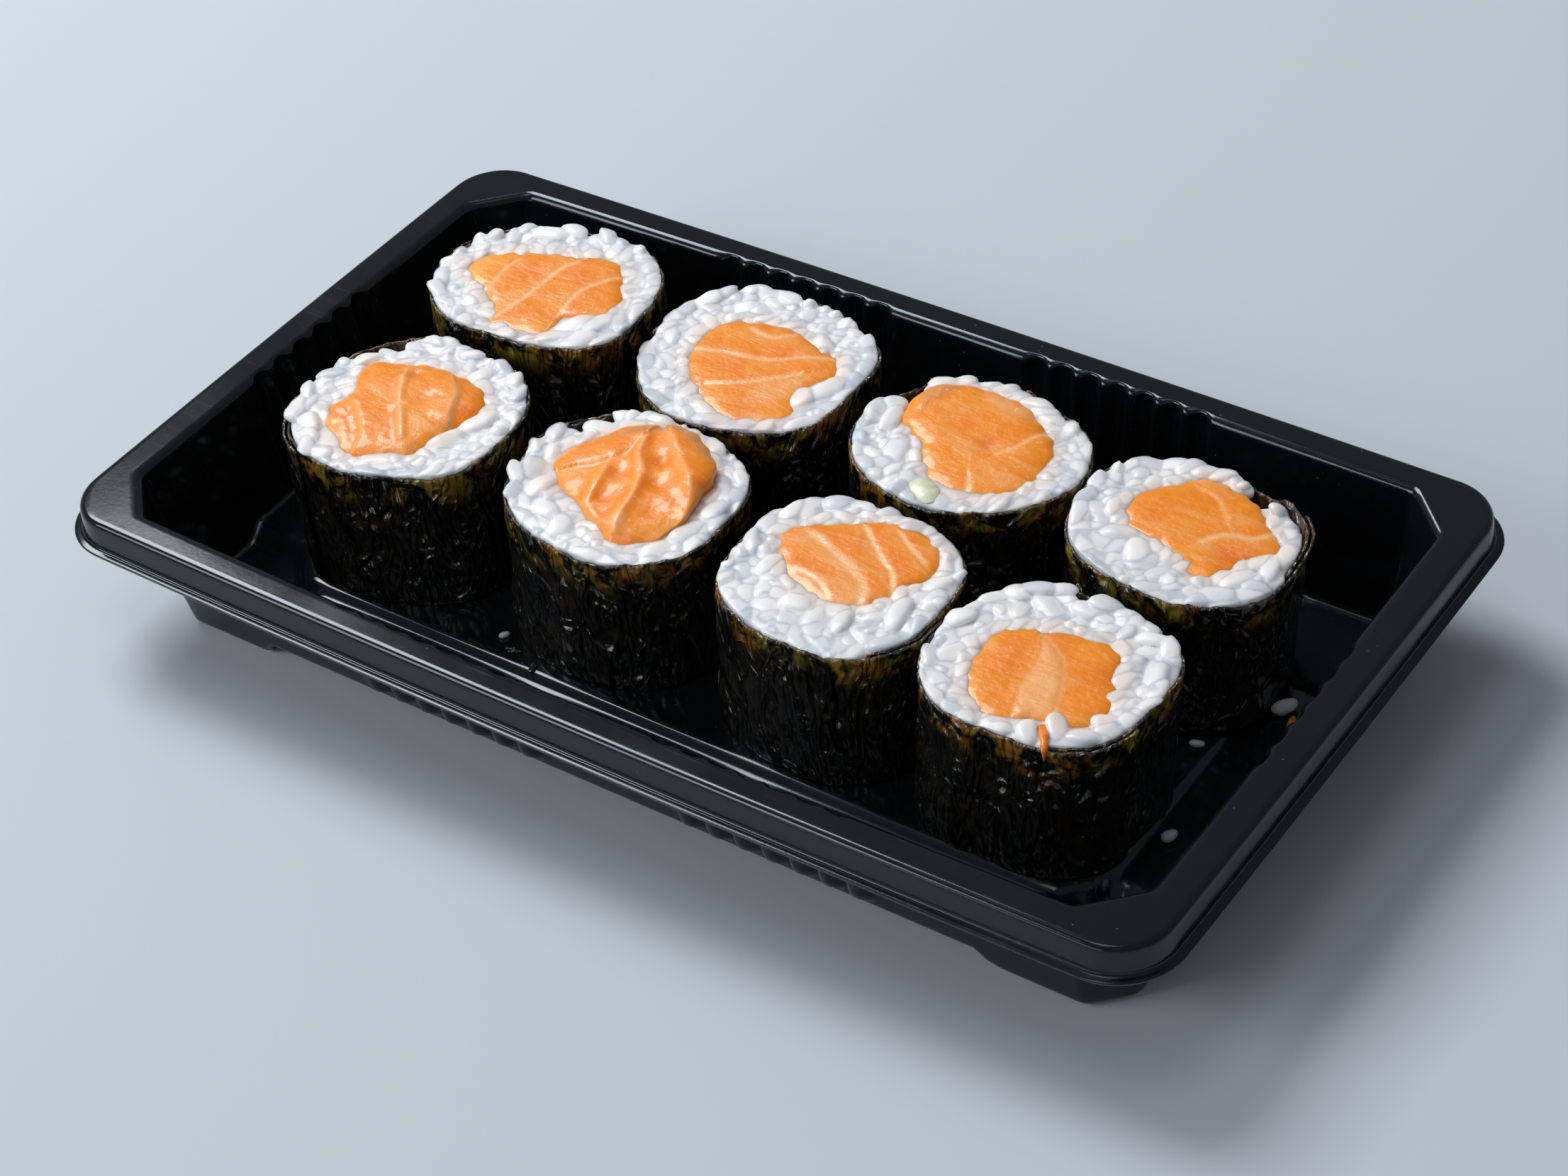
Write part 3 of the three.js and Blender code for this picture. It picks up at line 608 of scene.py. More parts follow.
class Workbench:
    """What is done to every mesh: starting it from a primitive, shaping it and finishing it."""

    @staticmethod
    def clear_selection() -> None:
        """Leaves nothing selected, in object mode."""
        if bpy.context.object is not None and bpy.context.object.mode != "OBJECT":
            bpy.ops.object.mode_set(mode="OBJECT")
        bpy.ops.object.select_all(action="DESELECT")

    @staticmethod
    def named(name: str) -> Piece:
        """Names the object that was just added and its mesh."""
        made = bpy.context.object
        made.name = made.data.name = name
        return made

    @classmethod
    def sheet(cls, name: str, columns: int, rows: int, closed: bool) -> Piece:
        """A grid of quads, which place_points then shapes.

        Args:
            name: the object's name.
            columns: points in a row.
            rows: number of rows.
            closed: whether each row's last point joins its first.

        Returns:
            The object. Its points run along a row first.
        """
        cls.clear_selection()
        bpy.ops.mesh.primitive_grid_add(x_subdivisions=columns - 1, y_subdivisions=rows - 1, size=1.0)
        made = cls.named(name)
        if closed:
            mesh = bmesh.new()
            mesh.from_mesh(made.data)
            mesh.verts.ensure_lookup_table()
            for row in range(rows - 1):
                here, above = row * columns, (row + 1) * columns
                last = columns - 1
                mesh.faces.new([mesh.verts[i] for i in (here + last, here, above, above + last)])
            mesh.to_mesh(made.data)
            mesh.free()
        return made

    @staticmethod
    def place_points(made: Piece, points_mm: Array) -> None:
        """Moves every point of a mesh to its place, given in millimetres."""
        flat = (points_mm.reshape(-1, 3) * MM).astype(np.float32).ravel()
        made.data.vertices.foreach_set("co", flat)
        made.data.update()

    @staticmethod
    def keep_numbers(made: Piece, name: str, values: Array) -> None:
        """Stores a number for each point, for the finish to read."""
        layer = made.data.attributes.new(name, "FLOAT", "POINT")
        layer.data.foreach_set("value", values.astype(np.float32).ravel())

    @classmethod
    def modify(cls, made: Piece, kind: str, **settings: object) -> None:
        """Adds a modifier with its settings and applies it.

        Args:
            made: the object.
            kind: the modifier's type.
            **settings: what is set on it.
        """
        cls.clear_selection()
        made.select_set(True)
        bpy.context.view_layer.objects.active = made
        added = made.modifiers.new(kind.lower(), kind)
        for name, value in settings.items():
            setattr(added, name, value)
        bpy.ops.object.modifier_apply(modifier=added.name)

    @classmethod
    def join(cls, first: Piece, others: Sequence[Piece]) -> Piece:
        """Joins other objects into the first.

        Args:
            first: the object that stays.
            others: the objects that go into it.

        Returns:
            The first object.
        """
        cls.clear_selection()
        for other in (first, *others):
            other.select_set(True)
        bpy.context.view_layer.objects.active = first
        bpy.ops.object.join()
        return first

    @staticmethod
    def fill_end(made: Piece, ring: Sequence[int], flip: bool) -> None:
        """Closes an open end of a mesh with a fan round the middle of its ring.

        Args:
            made: the object.
            ring: the point numbers of the ring, in order.
            flip: whether the fan faces the other way.
        """
        mesh = bmesh.new()
        mesh.from_mesh(made.data)
        mesh.verts.ensure_lookup_table()
        points = [mesh.verts[i] for i in ring]
        middle = mesh.verts.new(sum((p.co for p in points), Vector()) / len(points))
        for layer in mesh.verts.layers.float.values():
            middle[layer] = sum(p[layer] for p in points) / len(points)
        for here, there in zip(points, points[1:] + points[:1]):
            mesh.faces.new((there, here, middle) if flip else (here, there, middle))
        mesh.to_mesh(made.data)
        mesh.free()

    @classmethod
    def fill_ends(cls, made: Piece, around: int, rows: int) -> None:
        """Closes both ends of a tube whose rings have the same number of points."""
        cls.fill_end(made, [(rows - 1) * around + i for i in range(around)], flip=False)
        cls.fill_end(made, list(range(around)), flip=True)

    @classmethod
    def tube(cls, name: str, rings: Sequence[Sequence[Sequence[float]]]) -> Piece:
        """A tube through rings of points, with its ends closed.

        Args:
            name: the object's name.
            rings: the rings, in order along the tube.

        Returns:
            The object.
        """
        points = np.array(rings, float)
        rows, around = points.shape[:2]
        made = cls.sheet(name, around, rows, closed=True)
        cls.place_points(made, points)
        cls.fill_ends(made, around, rows)
        return made

    @staticmethod
    def bodies(name: str, parts: Sequence[tuple[Array, list]]) -> Piece:
        """One object of several loose bodies.

        Args:
            name: the object's name.
            parts: the points and faces of each body.

        Returns:
            The object.
        """
        points, faces, start = [], [], 0
        for part_points, part_faces in parts:
            points.extend((part_points * MM).tolist())
            faces.extend(tuple(start + i for i in face) for face in part_faces)
            start += len(part_points)
        mesh = bpy.data.meshes.new(name)
        mesh.from_pydata(points, [], faces)
        mesh.update()
        made = bpy.data.objects.new(name, mesh)
        bpy.context.scene.collection.objects.link(made)
        return made

    @classmethod
    def finish(cls, made: Piece, slot: str, finish: Material,
               nodes: Sequence[str] = ()) -> Piece:
        """Shades a piece smooth, dresses it and hands it to the frame.

        Args:
            made: the piece.
            slot: the name of the slot that its finish stands for; not used.
            finish: its material.
            nodes: the CAD nodes that it replaces.

        Returns:
            The piece.
        """
        made.data.materials.clear()
        made.data.materials.append(finish)
        made.data.polygons.foreach_set("use_smooth", [True] * len(made.data.polygons))
        made.data.update()
        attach(made, "root")
        if nodes:
            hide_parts(*nodes)
        LOG.info("%s: %d faces", made.name, len(made.data.polygons))
        return made


# ---- The tray ----


@dataclass
class Tray:
    """The formed tray: rim, fluted walls and stepped floor, as one sheet of even thickness."""

    sheet_mm: float = 0.6
    land_mm: tuple = (160.8, 90.1)
    height_mm: float = 20.5
    rim_bow_mm: tuple = (0.25, 0.7)
    rim_corner_mm: float = 7.2
    shoulder_mm: float = 0.9
    skirt_mm: float = 3.5
    splay_mm: float = 0.25
    fillet_mm: float = 0.45
    ledge_mm: float = 0.7
    ledge_fall_mm: float = 0.15
    lip_mm: tuple = (150.6, 80.3)
    lip_chamfer_mm: float = 6.1
    lip_bow_mm: tuple = (0.3, 1.4)
    lip_round_mm: float = 1.1
    side_margin_mm: float = 0.9
    bend_mm: float = 2.0
    draft: float = 0.16
    channel_mm: float = 2.6
    foot_floor_mm: float = 0.6
    panel_mm: tuple = (122.4, 52.0)
    panel_rise_mm: float = 0.8
    panel_step_mm: tuple = (-0.9, 0.35)
    foot_start_mm: tuple = (55.4, 21.5)
    foot_diagonal_mm: float = 85.3
    foot_step_mm: tuple = (-1.7, 0.5)
    floor_fillet_mm: float = 0.9
    inner_mm: tuple = (52.0, 18.0)
    inner_round_mm: float = 1.5
    flute_pitch_mm: float = 4.05
    flute_depth_mm: float = 1.15
    flute_reach_mm: float = 1.85
    flute_crest_mm: float = 0.45
    flute_top_mm: float = 20.5
    flute_head_mm: float = 1.5
    flute_foot_mm: float = 3.7
    flute_fade_mm: float = 1.4
    long_groups_mm: tuple = (-22.3, 26.5)
    long_count: int = 7
    short_count: int = 6
    corner_steps: int = 18
    flute_step_mm: float = 0.58
    plain_step_mm: float = 1.7
    wall_levels_mm: tuple = (19.1, 18.8, 18.3, 17.0, 14.0, 11.0, 8.0, 6.4, 5.6, 4.9)
    floor_steps: int = 31

    def straight_half(self, long_side: bool) -> float:
        """Half the length that the points of a side's straight part are spread over."""
        return self.lip_mm[0 if long_side else 1] / 2 - self.lip_chamfer_mm - self.side_margin_mm

    def flute_middles(self, long_side: bool) -> list[float]:
        """The places of the flutes along a side."""
        groups = self.long_groups_mm if long_side else (0.0,)
        count = self.long_count if long_side else self.short_count
        return [g + (i - (count - 1) / 2) * self.flute_pitch_mm for g in groups for i in range(count)]

    def side_places(self, long_side: bool) -> list[float]:
        """The places of points along a side, close together where there are flutes.

        Args:
            long_side: whether it is the front or the back.

        Returns:
            The places, from the side's middle.
        """
        half = self.straight_half(long_side)
        middles = self.flute_middles(long_side)
        places, at = [], -half
        while at < half - 0.3:
            places.append(at)
            near = min(abs(at + self.flute_step_mm - m) for m in middles) < self.flute_reach_mm + 0.6
            at += self.flute_step_mm if near else self.plain_step_mm
        return places + [half]

    def stations(self) -> list[Station]:
        """The points round the tray, as a side or corner number from 0 to 7 and a place in it.

        Sides 0, 2, 4, 6 are front, right, back and left; the corner after each has an odd number.

        Returns:
            The side or corner and the place of each point.
        """
        found: list[Station] = []
        for side in range(4):
            places = self.side_places(side % 2 == 0)
            if side in (2, 3):
                places = [-p for p in reversed(places)]
            found += [(2 * side, p) for p in places]
            found += [(2 * side + 1, i / self.corner_steps) for i in range(1, self.corner_steps)]
        return found

    @staticmethod
    def turned(side: int, along: float, out: float) -> Point:
        """A plan point from a place along a side, counter-clockwise, and a distance out from the middle."""
        return ((along, -out), (out, along), (-along, out), (-out, -along))[side]

    def bow(self, point: Point, amount: Sequence[float]) -> Point:
        """Moves a plan point outward by a bow of the short and the long sides."""
        ax, ay = point[0] / (self.land_mm[0] / 2), point[1] / (self.land_mm[1] / 2)
        return (point[0] + amount[0] * ax * max(0.0, 1 - ay * ay),
                point[1] + amount[1] * ay * max(0.0, 1 - ax * ax))

    def rim_point(self, station: Station, offset: float) -> Point:
        """A point of the rounded rectangle of the rim, moved outward by an offset.

        Args:
            station: where it is round the tray.
            offset: how far it is moved outward.

        Returns:
            The point in plan.
        """
        kind, place = station
        side = kind // 2
        half = (self.land_mm[0] / 2, self.land_mm[1] / 2)
        long_side = side % 2 == 0
        along_half, out = (half[0], half[1]) if long_side else (half[1], half[0])
        if kind % 2 == 0:
            straight = along_half - self.rim_corner_mm
            point = self.turned(side, place * straight / self.straight_half(long_side), out + offset)
        else:
            turn = place * math.pi / 2
            radius = max(self.rim_corner_mm + offset, 0.3)
            centre = self.rim_corner_mm
            point = self.turned(side, along_half - centre + radius * math.sin(turn),
                                out - centre + radius * math.cos(turn))
        return self.bow(point, self.rim_bow_mm)

    def wall_point(self, station: Station, inset: float, z: float) -> Point:
        """A point of the eight-sided outline of the walls, moved inward by an inset.

        Args:
            station: where it is round the tray.
            inset: how far it is moved inward.
            z: its height.

        Returns:
            The point in plan.
        """
        kind, place = station
        side = kind // 2
        long_side = side % 2 == 0
        half = (self.lip_mm[0] / 2 - inset, self.lip_mm[1] / 2 - inset)
        chamfer = self.lip_chamfer_mm - inset * (2 - math.sqrt(2))
        along_half, out = (half[0], half[1]) if long_side else (half[1], half[0])
        reach = self.bend_mm * math.tan(math.pi / 8)
        straight = along_half - chamfer - reach
        full = self.straight_half(long_side)
        if kind % 2 == 0:
            fixed = 0.62 * full
            beyond = max(0.0, abs(place) - fixed) / (full - fixed)
            size = abs(place) if beyond <= 0 else fixed + beyond * (straight - fixed)
            point = self.turned(side, math.copysign(size, place), out)
        else:
            bend = 0.3
            start = (along_half - chamfer, out)
            end = (along_half, out - chamfer)
            if place < bend or place > 1 - bend:
                near_start = place < bend
                share = place / bend if near_start else (place - 1 + bend) / bend
                turn = share * math.pi / 4 + (0 if near_start else math.pi / 4)
                if near_start:
                    centre = (start[0] - reach, out - self.bend_mm)
                else:
                    centre = (along_half - self.bend_mm, end[1] - reach)
                point = (centre[0] + self.bend_mm * math.sin(turn), centre[1] + self.bend_mm * math.cos(turn))
            else:
                share = (place - bend) / (1 - 2 * bend)
                cut = reach * math.sqrt(0.5)
                a = (start[0] + cut, start[1] - cut)
                b = (end[0] - cut, end[1] + cut)
                point = (a[0] + share * (b[0] - a[0]), a[1] + share * (b[1] - a[1]))
            point = self.turned(side, *point)
        fade = z / self.height_mm
        return self.bow(point, (self.lip_bow_mm[0] * fade, self.lip_bow_mm[1] * fade))

    def flute_bulge(self, station: Station, z: float) -> float:
        """How far a flute stands out from the wall at a station and a height.

        Args:
            station: the place round the tray.
            z: the height.

        Returns:
            How far it stands out.
        """
        kind, place = station
        if kind % 2:
            return 0.0
        side = kind // 2
        along = place if side in (0, 1) else -place
        gap = min(abs(along - m) for m in self.flute_middles(side % 2 == 0))
        across = 1 - smooth(gap, self.flute_crest_mm, self.flute_reach_mm)
        top = math.sqrt(max(0.0, min(1.0, (self.flute_top_mm - z) / self.flute_head_mm)))
        foot = smooth(z, self.flute_foot_mm, self.flute_foot_mm + self.flute_fade_mm)
        return float(self.flute_depth_mm * across * top * foot)

    def floor_height(self, x: float, y: float) -> float:
        """The height of the inside of the floor.

        Args:
            x, y: the place in plan.

        Returns:
            The height.
        """
        into_panel = min(self.panel_mm[0] / 2 - abs(x), self.panel_mm[1] / 2 - abs(y))
        upper = self.channel_mm + self.panel_rise_mm * smooth(into_panel, *self.panel_step_mm)
        into_foot = min(abs(x) - self.foot_start_mm[0], abs(y) - self.foot_start_mm[1],
                        (abs(x) + abs(y) - self.foot_diagonal_mm) / math.sqrt(2))
        return float(upper + (self.foot_floor_mm - upper) * smooth(into_foot, *self.foot_step_mm))

    def rim_rings(self) -> list[Point]:
        """The rim's section from the ledge's edge to the land, as offset and height.

        Returns:
            The offset and the height of each ring of points.
        """
        top = self.height_mm
        ledge_start = self.splay_mm + self.fillet_mm
        ledge_drop = self.skirt_mm + self.fillet_mm
        section = [(ledge_start + self.ledge_mm * out, -ledge_drop - self.ledge_fall_mm * fall)
                   for out, fall in ((1.0, 1.0), (0.85, 0.6), (0.4, 0.2))]
        for step in range(5):
            turn = step / 4 * math.pi / 2
            section.append((ledge_start - self.fillet_mm * math.sin(turn),
                            -ledge_drop + self.fillet_mm * (1 - math.cos(turn))))
        section.append((self.splay_mm * 0.4, -(self.skirt_mm + self.shoulder_mm) / 2))
        for step in range(7):
            turn = step / 6 * math.pi / 2
            section.append((-self.shoulder_mm * (1 - math.cos(turn)),
                            -self.shoulder_mm * (1 - math.sin(turn))))
        return [(offset, top + drop) for offset, drop in section]

    def column(self, station: Station) -> list[Triple]:
        """All the points of the sheet's upper face at a station, from the ledge to the middle.

        Args:
            station: the place round the tray.

        Returns:
            The points.
        """
        points = [(*self.rim_point(station, offset), z) for offset, z in self.rim_rings()]
        edge = self.rim_point(station, -self.shoulder_mm)
        top = self.height_mm
        mouth = self.wall_point(station, -self.lip_round_mm, top)
        for share in (0.12, 0.5, 0.88):
            points.append((edge[0] + share * (mouth[0] - edge[0]),
                           edge[1] + share * (mouth[1] - edge[1]), top))
        for step in range(9):
            turn = step / 8 * math.pi / 2
            inset = (-self.lip_round_mm * (1 - math.sin(turn))
                     + self.draft * self.lip_round_mm * (step / 8))
            z = top - self.lip_round_mm * (1 - math.cos(turn))
            points.append((*self.wall_point(station, inset - self.flute_bulge(station, z), z), z))
        foot_inset = self.draft * (top - self.channel_mm) + self.floor_fillet_mm
        foot = self.wall_point(station, foot_inset, self.channel_mm)
        floor = self.floor_height(*foot)
        low = floor + self.floor_fillet_mm
        last = self.wall_levels_mm[-1]
        for z in (*self.wall_levels_mm, *(last + (low - last) * share for share in (0.35, 0.7, 1.0))):
            inset = self.draft * (top - z) - self.flute_bulge(station, z)
            points.append((*self.wall_point(station, inset, z), z))
        wall_inset = self.draft * (top - low)
        for step in range(1, 5):
            turn = step / 4 * math.pi / 2
            inset = wall_inset + self.floor_fillet_mm * (1 - math.cos(turn))
            z = low - self.floor_fillet_mm * math.sin(turn)
            points.append((*self.wall_point(station, inset, z), z))
        foot = points[-1]
        inner = self.inner_point(station)
        for step in range(1, self.floor_steps + 1):
            x = foot[0] + (inner[0] - foot[0]) * step / self.floor_steps
            y = foot[1] + (inner[1] - foot[1]) * step / self.floor_steps
            points.append((x, y, self.floor_height(x, y)))
        for share in (0.6, 0.2):
            points.append((inner[0] * share, inner[1] * share, self.channel_mm + self.panel_rise_mm))
        return points

    def inner_point(self, station: Station) -> Point:
        """The point of the flat middle of the floor that a station leads to.

        Args:
            station: the place round the tray.

        Returns:
            The point in plan.
        """
        kind, place = station
        side = kind // 2
        long_side = side % 2 == 0
        along_half, out = self.inner_mm if long_side else self.inner_mm[::-1]
        radius = self.inner_round_mm
        if kind % 2 == 0:
            return self.turned(side, place * (along_half - radius) / self.straight_half(long_side), out)
        turn = place * math.pi / 2
        return self.turned(side, along_half - radius + radius * math.sin(turn),
                           out - radius + radius * math.cos(turn))

    def build(self) -> Piece:
        """Makes the tray and dresses it.

        Returns:
            The tray.
        """
        points = np.array([self.column(station) for station in self.stations()], float).transpose(1, 0, 2)
        rows, count = points.shape[:2]
        made = Workbench.sheet("tray_sheet", count, rows, closed=True)
        Workbench.place_points(made, points)
        Workbench.fill_end(made, [(rows - 1) * count + i for i in range(count)], flip=False)
        Workbench.modify(made, "SOLIDIFY", thickness=self.sheet_mm * MM, offset=-1.0, use_even_offset=False,
                         use_quality_normals=True)
        return Workbench.finish(made, "tray_plastic", BlackPlastic().material(), ["tray"])


# ---- The rolls ----


class Tint(Enum):
    """The tints that patches of the salmon take, by the name of the number that carries each."""

    # PALE carries the pale fat, and on roll 4's raised folds a painted highlight too.
    PALE = "fat"
    # DEEP_TONE_AND_SHADE carries the flesh's deeper orange tone, and painted shade in sunk hollows and beside
    # bands.
    DEEP_TONE_AND_SHADE = "deep"
    GOLDEN = "golden"
    BROWN = "brown"


@dataclass
class Band:
    """A line of pale fat on the cut face of the salmon, from the middle of its roll, with painted shade in
    deeper orange on its right; on roll 4's raised folds its pale line is also a painted highlight.

    The flesh on the left of the line's direction stands higher by step_mm than on its right.
    """

    line: Sequence[Point]
    width_mm: float = 0.5
    strength: float = 0.85
    groove_mm: float = 0.08
    step_mm: float = 0.0
    reach_mm: float = 2.5
    halo: float = 0.35
    relief_mm: float = 0.0


@dataclass
class Patch:
    """An area of the salmon's cut face with a tint of its own, raised or sunk by rise_mm."""

    outline: Sequence[Point]
    tint: Tint
    strength: float = 0.8
    soft_mm: float = 0.7
    rise_mm: float = 0.0


@dataclass
class Hollow:
    """A hollow or, with a negative depth, a swelling on the cut face of the salmon, tinted deep orange by its
    share deep; in a sunk hollow that tint is painted shade.
    """

    x: float
    y: float
    reach_mm: float
    depth_mm: float
    deep: float = 0.6


@dataclass
class Fish:
    """The salmon of one roll: where it lies in the roll and how it is shaped."""

    x: float
    y: float
    reach: Sequence[float]
    dome: float
    slope: Point = (0.0, 0.0)
    threads: float = 0.3
    bands: Sequence[Band] = ()
    hollows: Sequence[Hollow] = ()
    patches: Sequence[Patch] = ()
    lift: float = 0.0


@dataclass
class Grain:
    """A single listed grain: its place from the roll's middle, and its top over the rim.

    Angles are in degrees.
    """

    x: float
    y: float
    heading: float
    top_mm: float = 0.4
    size: float = 1.15
    pitch: float = 0.0


@dataclass
class Drip:
    """A thin shred of salmon that hangs out of the cut face, between grains or over the seaweed.

    The heights of its points are measured from the rim.
    """

    path: Sequence[Triple]
    width_mm: float = 0.9

    def distance(self, x: float, y: float) -> float:
        """How far a place in the roll lies from the shred."""
        away, _ = nearest_on_line(np.array([x]), np.array([y]), [(p[0], p[1]) for p in self.path])
        return float(away[0])


@dataclass
class Sliver:
    """A curved shaving of pale green vegetable that lies in the rice."""

    line: Sequence[Point]
    width_mm: float = 3.6
    thick_mm: float = 0.6
    top_mm: float = 0.3

    def distance(self, x: float, y: float) -> float:
        """How far a place in the roll lies from the shaving's middle line."""
        away, _ = nearest_on_line(np.array([x]), np.array([y]), self.line)
        return float(away[0])


@dataclass
class Flap:
    """A part of the seaweed's upper edge that stands up and leans out."""

    middle: float
    half: float
    rise_mm: float
    flare_mm: float


@dataclass
class GrainBody:
    """A grain's mesh in millimetres, with what is needed to tell how near other points lie to it."""

    points: Array
    faces: list
    middle: Array
    spin: Array
    half: Array
    clear: float

    @staticmethod
    def plump(draw: random.Random) -> tuple[Array, list, Triple]:
        """The points, faces and half sizes of one plump grain, lying along X, in millimetres.

        Args:
            draw: seeded random numbers.

        Returns:
            Its points, its faces and half its sizes.
        """
        around, along = 16, 12
        length = draw.uniform(4.0, 5.5) / 2
        width = draw.uniform(2.1, 2.8) / 2
        height = draw.uniform(1.7, 2.1) / 2
        taper = draw.uniform(-0.22, 0.22)
        bend = draw.uniform(-0.3, 0.3)
        points = [(-length, bend, 0.0)]
        for i in range(1, along):
            t = -math.cos(math.pi * i / along)
            full = (1 - abs(t) ** 2.7) ** 0.6 * (1 + taper * t)
            for j in range(around):
                a = FULL_TURN * j / around
                across = math.copysign(abs(math.cos(a)) ** 0.66, math.cos(a))
                upward = math.copysign(abs(math.sin(a)) ** 0.62, math.sin(a))
                points.append((t * length, full * width * across + bend * t * t, full * height * upward))
        points.append((length, bend, 0.0))
        faces = [(0, 1 + (j + 1) % around, 1 + j) for j in range(around)]
        for i in range(along - 2):
            for j in range(around):
                a, b = 1 + i * around + j, 1 + i * around + (j + 1) % around
                faces.append((a, b, b + around, a + around))
        last = len(points) - 1
        base = last - around
        faces += [(last, base + j, base + (j + 1) % around) for j in range(around)]
        return np.array(points), faces, (length, width, height)

    @classmethod
    def turned(cls, draw: random.Random, place: Sequence[float], heading: float, pitch: float,
               size: float) -> GrainBody:
        """A grain turned to its heading, with its highest point at the given place.

        Args:
            draw: seeded random numbers.
            place: the place of its middle in plan and of its highest point.
            heading: the direction of its long axis in plan, in radians.
            pitch: how steeply it stands, in radians.
            size: what its lengths are multiplied by.

        Returns:
            The grain.
        """
        points, faces, half = cls.plump(draw)
        spin = np.array(Matrix.Rotation(heading, 3, "Z") @ Matrix.Rotation(pitch, 3, "Y")
                        @ Matrix.Rotation(draw.uniform(-0.5, 0.5), 3, "X"))
        drift = Vector((draw.uniform(0, 90), draw.uniform(0, 90), 0.0))
        uneven = [1 + 0.14 * noise.noise(Vector(p) * 0.7 + drift) for p in points]
        points = points * np.array(uneven)[:, None] * size @ spin.T
        middle = np.array([place[0], place[1], place[2] - points[:, 2].max()])
        return cls(points + middle, faces, middle, spin, np.array(half) * size, draw.random())

    def nearness(self, points: Array) -> Array:
        """How far points lie from the middle of the grain, where 1 is its surface."""
        return np.linalg.norm((points - self.middle) @ self.spin / self.half, axis=1)


